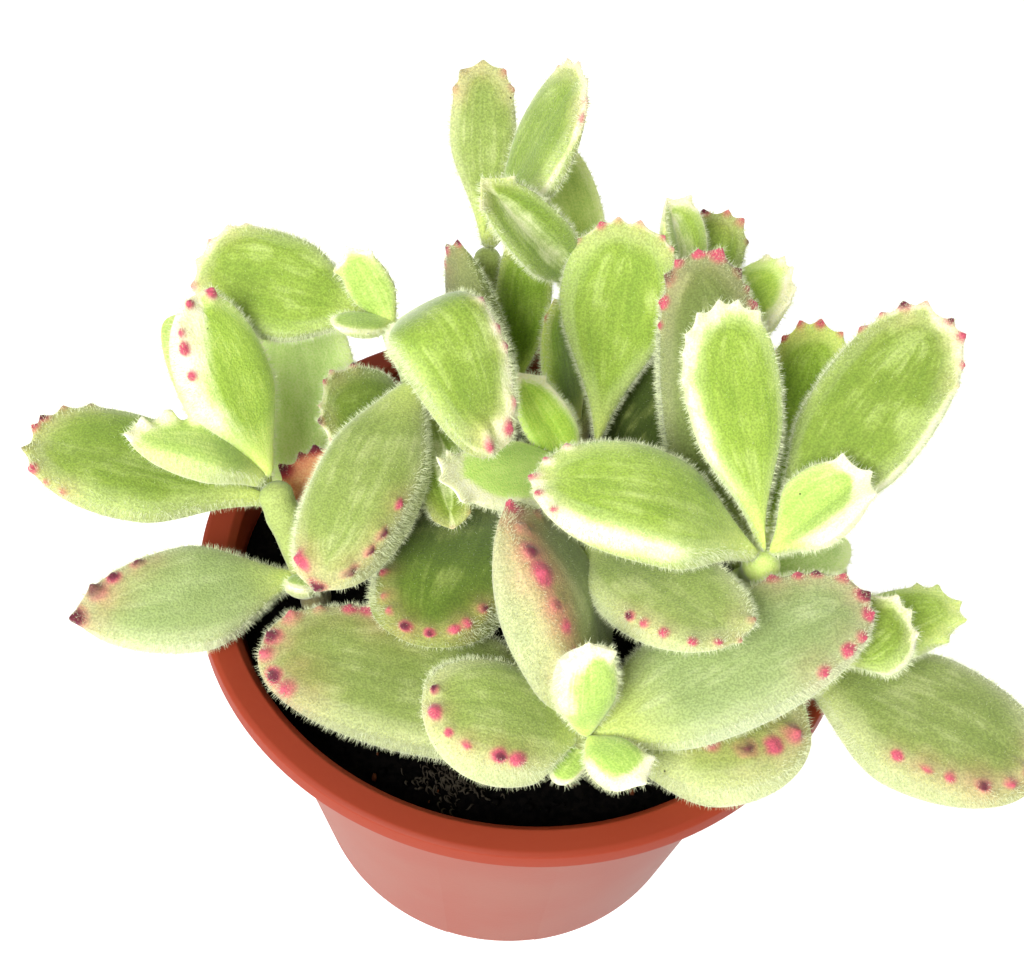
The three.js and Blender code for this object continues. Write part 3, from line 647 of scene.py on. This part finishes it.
# %% Node function and colours
# Each kind of node: its type, the sockets that take its inputs in order, its output, its settings.
NODES = {
    "place": ("ShaderNodeTexCoord", (), "Object", {}),
    "value": ("ShaderNodeAttribute", (), "Fac", {}),
    "vector": ("ShaderNodeAttribute", (), "Vector", {}),
    "noise": ("ShaderNodeTexNoise", ("Vector", "Scale", "Detail", "Roughness"), 0, {}),
    "cells": ("ShaderNodeTexVoronoi", ("Vector", "Scale"), "Distance", {}),
    "channel": ("ShaderNodeSeparateColor", (0,), 0, {}),
    "height": ("ShaderNodeSeparateXYZ", (0,), 2, {}),
    "math": ("ShaderNodeMath", (0, 1), 0, {}),
    "range": ("ShaderNodeMapRange", range(5), 0, {}),
    "rise": ("ShaderNodeMapRange", range(5), 0, {"interpolation_type": "SMOOTHSTEP"}),
    "blend": ("ShaderNodeMix", (0, 2, 3), 0, {}),
    "mix": ("ShaderNodeMix", (0, 6, 7), 2, {"data_type": "RGBA"}),
    "lighten": ("ShaderNodeHueSaturation", ("Value", "Color"), 0, {}),
    "bump": ("ShaderNodeBump", ("Height", "Strength", "Distance"), 0, {}),
    "body": ("ShaderNodeBsdfPrincipled", (), 0, {}),
    "output": ("ShaderNodeOutputMaterial", (0,), None, {}),
}


def add_node(tree, kind, *inputs, sockets=None, output=None, **settings):
    """Adds a node and gives back its usual output, or another one.

    Settings are set on the node. Inputs come in the order that NODES has for the kind, or by name
    in sockets; one that is itself a socket is linked, any other value is set.
    """
    node_type, order, usual_output, usual = NODES[kind]
    node = tree.nodes.new(node_type)
    for key, value in {**usual, **settings}.items():
        setattr(node, key, value)
    for key, value in [*zip(order, inputs), *(sockets or {}).items()]:
        if isinstance(value, bpy.types.NodeSocket):
            tree.links.new(value, node.inputs[key])
        else:
            node.inputs[key].default_value = value
    return node.outputs[output or usual_output] if node.outputs else None


def empty_material(name):
    """A material without nodes, and the function that adds nodes to it."""
    material = bpy.data.materials.new(name)
    material.use_nodes = True
    material.node_tree.nodes.clear()
    return material, partial(add_node, material.node_tree)


def linear(hex_colour):
    """An sRGB hex colour such as 0x88aa44 as linear red, green, blue, alpha."""
    channels = [(hex_colour >> shift & 255) / 255 for shift in (16, 8, 0)]
    return [c / 12.92 if c <= 0.04045 else ((c + 0.055) / 1.055) ** 2.4 for c in channels] + [1.0]


# %% Velvet leaf skin
CREAM = linear(0xf2f1cc)
MAROON = linear(0x662636)
SPECK = linear(0x2a2414)
HAIR_SPACING_M = 0.00025
SPECK_SPACING_M = 0.0035


def leaf_skin(name, deep, light, under, margin, stalk=0xc6d672, flush=0xcc7468, claw=0xbe5264):
    """Soft leaf skin: green with faint streaks, pale margin, cream rind, flushed claws, specks.

    The colours are sRGB hex values: two greens of the upper face, the lower face, the margin, the
    stalk, the flush round a claw and the claw itself. Each piece's brightness value lifts or
    darkens the green and the cream, partly as its own colour and partly as painted light and shade.
    """
    deep, light, under, margin, stalk, flush, claw = map(
        linear, (deep, light, under, margin, stalk, flush, claw))
    material, add = empty_material(name)
    place, streak = add("place"), add("vector", attribute_name="streak")
    edge, face, at_stalk, cream, blush, ripe, tooth, tone = (
        add("value", attribute_name=key)
        for key in ("edge", "face", "stalk", "cream", "blush", "ripe", "tooth", "tone"))
    streaks, lines = add("noise", streak, 1.9, 5.0, 0.55), add("noise", streak, 11.0, 3.0)
    cloud = add("noise", place, 230.0, 4.0)
    down = add("blend", 0.1, add("noise", place, 1 / HAIR_SPACING_M, 1.0), lines)
    clouded = lambda low, high: add("rise", cloud, 0.3, 0.7, low, high)
    streaked = lambda low, high: add("rise", streaks, 0.3, 0.7, low, high)
    green = add("mix", add("math", streaked(0.1, 0.36), clouded(0.06, 0.28)), deep, light)
    # Painted light: towards the margin the green is mixed with the pale margin colour, as the glow of
    # light through the thin edge.
    rim = add("rise", add("math", edge, streaked(-0.2, 0.2)), -0.1, 1.0)
    green = add("mix", add("rise", rim, 0.0, 1.0, 0.45, 0.0), green, margin)
    green = add("mix", add("rise", face, 0.5, -0.9), green, under)
    green = add("mix", at_stalk, green, stalk)
    # Painted light and shade: the green is brightened or darkened by each piece's brightness value.
    green = add("lighten", add("range", tone, -1.5, 1.5, 0.13, 1.77), green)
    rind = add("math", cream, add("math", clouded(-0.2, 0.2), streaked(-0.15, 0.15)))
    skin = add("mix", add("rise", rind, 0.0, 0.7, 0.0, 0.6), green, margin)
    # Painted light: the cream is brightened by the same value, lifting pale tips that lie in shadow.
    pale = add("lighten", add("range", tone, -1.0, 1.0, 0.85, 1.08), CREAM)
    skin = add("mix", add("rise", rind, 0.3, 1.1), skin, pale)
    skin = add("mix", add("math", blush, clouded(0.5, 1.3), operation="MULTIPLY"), skin, flush)
    claws = add("mix", add("rise", ripe, 0.35, 0.8), claw, MAROON)
    dabs = add("math", tooth, clouded(-0.08, 0.08))
    skin = add("mix", add("rise", dabs, 0.22, 0.7), skin, claws)
    near = add("rise", add("cells", place, 1 / SPECK_SPACING_M), 0.045, 0.03)
    chance = add("channel", add("cells", place, 1 / SPECK_SPACING_M, output="Color"))
    specks = add("math", near, add("rise", chance, 0.8, 0.82), operation="MULTIPLY")
    skin = add("mix", specks, skin, SPECK)
    grain = add("mix", add("rise", down, 0.33, 0.67), (0.32, 0.32, 0.32, 1), (0.66, 0.66, 0.66, 1))
    body = add("body", subsurface_method="BURLEY", sockets={
        "Base Color": add("mix", 0.5, skin, grain, blend_type="OVERLAY"), "Roughness": 0.65,
        "IOR": 1.4, "Normal": add("bump", down, 0.5, 0.0002), "Subsurface Weight": 0.35,
        "Subsurface Radius": (1.0, 0.9, 0.35), "Subsurface Scale": 0.0012, "Sheen Weight": 0.4,
        "Sheen Roughness": 0.45, "Specular IOR Level": 0.3})
    add("output", body)
    return material


SKIN_MATERIALS = [leaf_skin(*shades) for shades in SKIN_SHADES.values()]
print(len(SKIN_MATERIALS), "skin finishes")

# %% [markdown]
# ## Leaves in place
#
# Each leaf is a piece of its own that stands for the plain leaf of the frame. The printed line
# gives the largest distance between a leaf's box and the box of the solid it stands for.

# %% Build the leaves


def living_piece(name, shape, node):
    """A piece of the plant that stands for a node of the frame, with only the finishes it uses."""
    used = sorted(set(shape["finish"]))
    shape["finish"] = [used.index(k) for k in shape["finish"]]
    piece = piece_from(name, shape, [SKIN_MATERIALS[k] for k in used])
    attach(piece, "root")
    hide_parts(node)
    return piece


def box_gap(shape, node):
    """How far the box of a surface is from the box of a node, at most, in mm."""
    low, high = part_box(node)
    mine = np.array([shape["points"].min(axis=0), shape["points"].max(axis=0)])
    return np.abs(mine - np.array([list(low), list(high)]) / MM).max()


SIDE_INSET_MM = 0.3
BUD_INSET_MM = -0.8
by_stem = {name: [] for name in STEMS}
gaps = {}
leaf_triangles = 0
for number, (name, stem, row) in enumerate(LEAVES):
    shape = outward(leaf_surface(stem, row, SIDE_INSET_MM, seed=100 + number))
    gaps[name] = box_gap(shape, name)
    leaf_triangles += triangles(shape)
    by_stem[stem].append(shape)
    living_piece("velvet_" + name, {**shape}, name)
worst = sorted(gaps, key=gaps.get)[-4:]
print("leaf triangles:", leaf_triangles, "largest box gaps in mm:",
      {name: round(float(gaps[name]), 2) for name in worst})

# %% Build the stems with their buds


def tube(path, radii, sides):
    """A closed round tube along a path: rings at right angles to it, and a point at either end."""
    path = np.asarray(path, float)
    way = np.gradient(path, axis=0)
    way /= np.linalg.norm(way, axis=1)[:, None]
    guide = np.array([1.0, 0.2, 0.1]) if abs(way[0][0]) < 0.8 else np.array([0.1, 1.0, 0.2])
    u = np.cross(way, guide)
    u /= np.linalg.norm(u, axis=1)[:, None]
    v = np.cross(way, u)
    a = np.arange(sides) * 2 * np.pi / sides
    ring = np.cos(a)[None, :, None] * u[:, None] + np.sin(a)[None, :, None] * v[:, None]
    return ring_body(path[:, None] + ring * np.asarray(radii, float)[:, None, None], path[0], path[-1])


# Painted light and shade on the stems: a brightness per stem, partly its own colour and partly lit or
# shaded, the right stem made brighter and the front stem darker.
STEM_TONES = {"stem_left": -0.1, "stem_back_left": -0.5, "stem_front": -0.6, "stem_right": 1.5}


def stem_surface(name):
    """The stem itself: a tube that swells a little where leaves join it and closes in a dome."""
    points, radius = stem_points(name), STEMS[name][2]
    t = np.linspace(0, 1, 61)
    path = curve_at(points, t)
    along = np.concatenate([[0], np.cumsum(np.linalg.norm(np.diff(path, axis=0), axis=1))])
    radii = np.full(len(t), float(radius))
    for row in LEAVES_OF[name].values():
        if row["height"] != TOP:
            radii += 0.25 * np.exp(-((path[:, 2] - row["height"]) / 1.2) ** 2)
    to_end = along[-1] - along
    dome = np.sqrt(np.clip(1 - np.clip(1 - to_end / radius, 0, 1) ** 2, 0.02, 1))
    shape = tube(path, radii * dome, 20)
    shape["finish"] = [SKINS.index("stem")] * 2
    z = shape["points"][:, 2]
    fresh = smooth_step(55, 64, z)
    angle = np.arctan2(shape["points"][:, 1], shape["points"][:, 0])
    streak = np.stack([z * 0.3, np.cos(angle * 9), np.full(len(z), radius)], axis=-1)
    shape["values"] = {"stalk": fresh, "streak": streak, "face": np.ones(len(z)),
                       "edge": np.ones(len(z)), "tone": np.full(len(z), STEM_TONES.get(name, 0.0))}
    return shape


buds_of = {name: [] for name in STEMS}
for number, (stem, bud) in enumerate(BUDS):
    shape = leaf_surface(stem, {**bud, "neck": 0.5}, BUD_INSET_MM, seed=200 + number)
    buds_of[stem].append(outward(shape))
for name in STEMS:
    shape = joined([outward(stem_surface(name)), *buds_of[name]])
    gaps[name] = box_gap(shape, name)
    by_stem[name].append(shape)
    living_piece("velvet_" + name, {**shape}, name)
print("stem box gaps in mm:", {name[5:]: round(float(gaps[name]), 1) for name in STEMS})

# %% [markdown]
# ## The coat of hair
#
# The velvet is real hair: pale spikes less than a millimetre long that stand off the skin and lean
# a little outwards. Each is a closed spike of four triangles, rooted just under the skin at a
# random place. They crowd along the margin of a leaf, and are fewer and shorter over its faces.
# The hair of one branch is one piece.

# %% Hair
HAIR_PER_MM2 = (0.8, 15.0)      # in the middle of a face, at the margin
HAIR_LENGTH_MM = (0.4, 0.95)
HAIR_RADIUS_MM = 0.028
HAIR_LEAN = 0.2


def hair_on(shapes, rng):
    """Spikes over a list of surfaces; their number follows the area, their lean points outwards."""
    whole = joined(shapes)
    corners = [faces[:, [0, 1, 2]] for faces in whole["faces"]]
    corners += [faces[:, [0, 2, 3]] for faces in whole["faces"] if faces.shape[1] == 4]
    a, b, c = (whole["points"][np.concatenate(corners)[:, i]] for i in range(3))
    across = np.cross(b - a, c - a)
    area = np.linalg.norm(across, axis=1) / 2
    edge, face = (whole["values"][key][np.concatenate(corners)].mean(axis=1) for key in ("edge", "face"))
    bare = np.minimum(2.5 * edge, 1) ** 0.6 * smooth_step(0.35, 0.75, np.abs(face + 0.12))
    share = area * (HAIR_PER_MM2[1] + (HAIR_PER_MM2[0] - HAIR_PER_MM2[1]) * bare)
    count = int(share.sum())
    pick = np.searchsorted(np.cumsum(share), rng.random(count) * share.sum())
    pick = np.minimum(pick, len(area) - 1)
    full = 1 - 0.55 * bare[pick][:, None]
    w = rng.random((count, 2))
    w = np.where(w.sum(axis=1, keepdims=True) > 1, 1 - w, w)
    root = a[pick] + (b - a)[pick] * w[:, :1] + (c - a)[pick] * w[:, 1:]
    normal = across[pick] / (2 * area[pick][:, None] + 1e-12)
    from_axis = root * [1, 1, 0]
    lean = from_axis / (np.linalg.norm(from_axis, axis=1)[:, None] + 1e-9)
    lean = lean + rng.normal(0, 1.0, (count, 3))
    way = normal + HAIR_LEAN * lean
    way /= np.linalg.norm(way, axis=1)[:, None]
    u = np.cross(way, rng.normal(0, 1, (count, 3)))
    u /= np.linalg.norm(u, axis=1)[:, None]
    v = np.cross(way, u)
    ring = [root - 0.05 * way + HAIR_RADIUS_MM * full * (math.cos(k) * u + math.sin(k) * v)
            for k in (0, 2 * math.pi / 3, 4 * math.pi / 3)]
    tips = root + way * rng.uniform(*HAIR_LENGTH_MM, (count, 1)) * full
    points = np.stack([*ring, tips], axis=1).reshape(-1, 3)
    spike = np.array([[0, 1, 3], [1, 2, 3], [2, 0, 3], [0, 2, 1]])
    return surface(points, (spike + 4 * np.arange(count)[:, None, None]).reshape(-1, 3))


hair_material, add = empty_material("plant_hair")
add("output", add("body", sockets={"Base Color": linear(0xe4eac2), "Roughness": 0.5, "IOR": 1.4}))
hair_triangles = 0
for number, name in enumerate(STEMS):
    shape = hair_on(by_stem[name], np.random.default_rng(300 + number))
    hair_triangles += triangles(shape)
    piece = piece_from("hair_" + name[5:], shape, [hair_material], smooth=False)
    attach(piece, "root")
print("hair triangles:", hair_triangles)

# %% [markdown]
# ## Soil
#
# The soil is fine dark peat: a low mound with small lumps, loose crumbs and brown fibres on it,
# bark chips near the rim, and a clump of grey fibres at the front. Its body is turned round the
# pot's axis, with the top roughened by noise.

# %% Soil body, crumbs and fibres
SOIL_PROFILE = [(0, 2.7), (31.0 - 1.1, 2.7), (35.9, 49.8), (35.9, 51.2)]
SOIL_EDGE_MM = 37.3
SOIL_CEILING_MM = 54.7
CRUMBS, FIBRES, CLUMP_FIBRES, CHIPS = 400, 50, 230, 16
CLUMP_AT_MM = (-6, -31)


def soil_height(x, y):
    """Height of the soil's top at a place: a flat mound with three sizes of lump."""
    r = np.hypot(x, y)
    mound = 52.7 + 1.0 * smooth_step(SOIL_EDGE_MM, 5, r)
    lumps = sum(size * (soft_noise(x / pitch + 20, y / pitch + 20, seed) - 0.5)
                for size, pitch, seed in ((1.0, 6.0, 11), (0.8, 2.2, 12), (0.6, 0.9, 13)))
    return mound + lumps


def soil_body():
    """A closed turned body whose top is a polar grid lifted to the soil's height."""
    sides, rings = 180, 64
    a = np.arange(sides) * 2 * np.pi / sides
    radii = SOIL_EDGE_MM * (1 - np.arange(rings) / rings)
    x, y = radii[:, None] * np.cos(a), radii[:, None] * np.sin(a)
    wall = [(r * np.cos(a), r * np.sin(a), np.full(sides, z)) for r, z in SOIL_PROFILE[1:]]
    rows = [*wall, *[(x[i], y[i], soil_height(x[i], y[i])) for i in range(rings)]]
    points = np.array([np.stack(row, axis=-1) for row in rows])
    return ring_body(points, [0, 0, SOIL_PROFILE[0][1]], [0, 0, soil_height(0.0, 0.0)])


def crumb(place, size, rng):
    """A lump of peat: a small ball of 26 points pushed in and out at random."""
    latitude = np.linspace(-1, 1, 6)[1:-1] * np.pi / 2
    a = np.arange(6) * np.pi / 3
    ball = [[math.cos(b) * math.cos(c), math.cos(b) * math.sin(c), math.sin(b)]
            for b in latitude for c in a]
    points = np.array([*ball, [0, 0, -1], [0, 0, 1]]) * rng.uniform(0.7, 1.2, (26, 1))
    points = place + points * rng.uniform(0.6, 1.2, 3) * size / 2
    return ring_body(points[:24].reshape(4, 6, 3), points[24], points[25])


def fibre(x, y, turn, length, width, finish):
    """A root fibre that lies on the soil and curls a little."""
    t = np.linspace(0, 1, 9)
    bend = turn + 1.4 * np.sin(t * 3 + turn)
    step = length / 8
    px = x + np.cumsum(np.cos(bend)) * step
    py = y + np.cumsum(np.sin(bend)) * step
    pz = np.minimum(soil_height(px, py) + 0.15 + 0.5 * np.sin(np.pi * t), SOIL_CEILING_MM - 0.1)
    shape = tube(np.stack([px, py, pz], axis=-1), width * (0.4 + np.sin(np.pi * t) * 0.6), 5)
    shape["finish"] = [finish] * 2
    return shape


rng = np.random.default_rng(7)
parts = [soil_body()]
for _ in range(CRUMBS):
    r, a = SOIL_EDGE_MM * math.sqrt(rng.random()) * 0.97, rng.uniform(0, 2 * math.pi)
    x, y, size = r * math.cos(a), r * math.sin(a), rng.uniform(0.5, 2.0) * rng.uniform(0.5, 1)
    z = min(float(soil_height(x, y)) + size * 0.15, SOIL_CEILING_MM - size * 0.7)
    parts.append(crumb(np.array([x, y, z]), size, rng))
for _ in range(FIBRES):
    r, a = 35 * math.sqrt(rng.random()), rng.uniform(0, 2 * math.pi)
    parts.append(fibre(r * math.cos(a), r * math.sin(a), rng.uniform(0, 6), rng.uniform(1, 3), 0.07, 1))
for _ in range(CLUMP_FIBRES):
    x, y = CLUMP_AT_MM[0] + rng.normal(0, 2.4), CLUMP_AT_MM[1] + rng.normal(0, 1.6)
    parts.append(fibre(x, y, rng.uniform(0, 6), rng.uniform(0.5, 1.5), rng.uniform(0.05, 0.16), 2))
for _ in range(CHIPS):
    r, a = 36.8 - rng.uniform(0, 2.5) ** 2, rng.uniform(-2.7, -0.6)
    x, y, size = r * math.cos(a), r * math.sin(a), rng.uniform(0.3, 1.0)
    z = min(float(soil_height(x, y)) + size * 0.3, SOIL_CEILING_MM - 0.5)
    chip = crumb(np.array([x, y, z]), size, rng)
    chip["finish"] = [1, 1]
    parts.append(chip)
soil_shape = joined(parts)


def plain_material(name, colour, roughness, ior, grain_mm=None, depth_mm=0.0, dark=None):
    """A solid finish whose grain darkens it in places and roughens its surface."""
    material, add = empty_material(name)
    sockets = {"Base Color": colour, "Roughness": roughness, "IOR": ior, "Specular IOR Level": 0.08}
    if grain_mm:
        grain = add("noise", add("place"), 1000 / grain_mm, 4.0)
        sockets["Normal"] = add("bump", grain, 0.6, depth_mm * MM)
        if dark:
            sockets["Base Color"] = add("mix", add("rise", grain, 0.4, 0.65), dark, colour)
    add("output", add("body", sockets=sockets))
    return material


PEAT = plain_material("damp_peat", linear(0x0a0807), 0.95, 1.3, 0.9, 0.3, linear(0x020202))
BARK = plain_material("bark_chip", linear(0x4e2a18), 0.85, 1.4)
DOWN = plain_material("grey_fibre", linear(0x332e26), 0.9, 1.4)
soil = piece_from("peat_soil", soil_shape, [PEAT, BARK, DOWN])
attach(soil, "root")
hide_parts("soil")
print("soil triangles:", triangles(soil_shape),
      "box gap in mm:", round(float(box_gap(soil_shape, "soil")), 2))

# %% [markdown]
# ## Pot
#
# The pot is one thin wall turned round its axis: a foot ring, a wall that widens to a collar, and a
# flat rolled rim. Every corner of the section is rounded, as a moulded part's is. Water runs out
# through six round holes and six slots at the corner of floor and wall.

# %% Pot section, turned and pierced
POT_SECTION = [
    (18, 0), (18.6, 1.2), (24.9, 1.2), (25.5, 0), (29.2, 0), (30, 0.8), (37.4, 50), (39, 51), (39.3, 56),
    (42.1, 55.4), (42.5, 55.9), (42.2, 57.7), (41.6, 58), (38.9, 57.8), (38.0, 56.8), (37.8, 51.8),
    (36.2, 50.6), (29.16, 2.4)]
POT_SIDES = 192
SLOT_SIZE_MM = (8, 13, 2.4)
CORNER_MM = 0.2
OPENINGS = 6
HOLE_RADIUS_MM = 2.6
HOLE_RING_MM = 21.75
SLOT_RING_MM = 30


def rounded(section, radius):
    """Each corner of a section replaced by a short curve between points near it on its two sides."""
    points = [np.array(p, float) for p in section]
    out = []
    for i in range(len(points)):
        before, here, after = points[i - 1], points[i], points[(i + 1) % len(points)]
        if i in (0, len(points) - 1):
            out.append(here)
            continue
        a = here + (before - here) * min(radius / np.linalg.norm(before - here), 0.4)
        b = here + (after - here) * min(radius / np.linalg.norm(after - here), 0.4)
        out += [(1 - t) ** 2 * a + 2 * t * (1 - t) * here + t ** 2 * b for t in (0, 0.25, 0.5, 0.75, 1)]
    return out


def turned(section, sides):
    """A closed body turned round the axis from a section that starts and ends near it."""
    a = np.arange(sides) * 2 * np.pi / sides
    rows = [np.stack([r * np.cos(a), r * np.sin(a), np.full(sides, z)], axis=-1) for r, z in section]
    return ring_body(np.array(rows), [0, 0, section[0][1]], [0, 0, section[-1][1]])


def box_surface(centre, size, turn):
    """A box turned about the vertical."""
    corner = np.array([[x, y, z] for x in (-1, 1) for y in (-1, 1) for z in (-1, 1)]) * np.array(size) / 2
    c, s = math.cos(turn), math.sin(turn)
    spun = corner @ np.array([[c, s, 0], [-s, c, 0], [0, 0, 1]])
    faces = [[0, 1, 3, 2], [4, 6, 7, 5], [0, 4, 5, 1], [2, 3, 7, 6], [0, 2, 6, 4], [1, 5, 7, 3]]
    return surface(spun + centre, faces)


pot = piece_from("pot_wall", outward(turned(rounded(POT_SECTION, CORNER_MM), POT_SIDES)), [])
cutters = []
for i in range(OPENINGS):
    turn = 2 * math.pi * i / OPENINGS - math.pi / 2
    way = np.array([math.cos(turn), math.sin(turn), 0])
    ring = way * HOLE_RING_MM
    hole = tube([ring + [0, 0, -1], ring + [0, 0, 4]], [HOLE_RADIUS_MM] * 2, 32)
    cutters += [outward(hole), outward(box_surface(way * SLOT_RING_MM, SLOT_SIZE_MM, turn))]
print("pot made with", len(cutters), "openings")

# %% Pierce the pot
for number, cutter_shape in enumerate(cutters):
    cutter = piece_from("cutter_%d" % number, cutter_shape, [])
    cut = pot.modifiers.new("opening", "BOOLEAN")
    cut.operation, cut.object, cut.solver = "DIFFERENCE", cutter, "MANIFOLD"
bpy.context.view_layer.update()
pierced = bpy.data.meshes.new_from_object(pot.evaluated_get(bpy.context.evaluated_depsgraph_get()))
pot.modifiers.clear()
pot.data = pierced
for old in [o for o in bpy.data.objects if o.name.startswith("cutter_")]:
    bpy.data.objects.remove(old)
print("pot faces:", len(pierced.polygons))


def pot_plastic():
    """Satin terracotta-coloured plastic that turns paler and greyer in patches low on the wall."""
    material, add = empty_material("satin_polypropylene")
    place = add("place")
    # Below a height of 52 mm the wall is mixed, up to about a third of the way, towards a paler grey-pink
    # in noisy patches.
    dust = add("rise", add("noise", place, 55.0, 5.0), 0.3, 0.7, 0.18, 0.32)
    film = add("math", add("rise", add("height", place), 0.052, 0.046), dust, operation="MULTIPLY")
    add("output", add("body", sockets={
        "Base Color": add("mix", film, linear(0x8a3520), linear(0x907264)), "Roughness": 0.5,
        "IOR": 1.49, "Normal": add("bump", add("noise", place, 1800.0, 2.0), 0.15, 0.0001),
        "Specular IOR Level": 0.15, "Subsurface Weight": 0.1, "Subsurface Radius": (1.0, 0.3, 0.15),
        "Subsurface Scale": 0.001}))
    return material


pot.data.materials.clear()
pot.data.materials.append(pot_plastic())
pot.data.polygons.foreach_set("use_smooth", np.full(len(pot.data.polygons), True))
pot.data.set_sharp_from_angle(angle=math.radians(40))
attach(pot, "root")
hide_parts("pot")

# %% [markdown]
# ## Table, light and background
#
# A white table that is lit from within, under a bright, even studio sky. One broad soft light in
# front on the left gives the leaves their form, and a weaker one behind lights up the hair.

# %% Table and lights
table_half = 0.6
table_shape = box_surface(np.array([0, 0, -5.0]), (2 * table_half / MM, 2 * table_half / MM, 10.0), 0)
light_table, add = empty_material("lit_white_acrylic")
add("output", add("body", sockets={
    "Base Color": linear(0xbcbcbc), "Roughness": 0.6, "IOR": 1.49,
    "Emission Color": (1.0, 1.0, 1.0, 1.0), "Emission Strength": 0.85}))
table = piece_from("table", table_shape, [light_table], smooth=False)


def soft_light(name, place, size, power, aim_at=(0, 0, 0.07)):
    """A square area light at a place in metres that faces a point."""
    data = bpy.data.lights.new(name, "AREA")
    data.shape, data.size, data.energy = "SQUARE", size, power
    light = bpy.data.objects.new(name, data)
    light.location = place
    light.rotation_euler = (Vector(aim_at) - Vector(place)).to_track_quat("-Z", "Y").to_euler()
    bpy.context.scene.collection.objects.link(light)
    return light


soft_light("key", (-0.2, -0.36, 0.36), 0.3, 4.15)
soft_light("rim", (0.3, 0.5, 0.35), 0.35, 0.5)
world = bpy.data.worlds.new("studio")
world.use_nodes = True
world.node_tree.nodes["Background"].inputs["Color"].default_value = (1, 1, 1, 1)
world.node_tree.nodes["Background"].inputs["Strength"].default_value = 0.48
scene = bpy.context.scene
scene.world = world
scene.view_settings.view_transform = "Standard"

# %% Print the frame's box
print("frame box in mm:", [[round(v / MM, 1) for v in corner] for corner in (CAD_LOW, CAD_HIGH)])
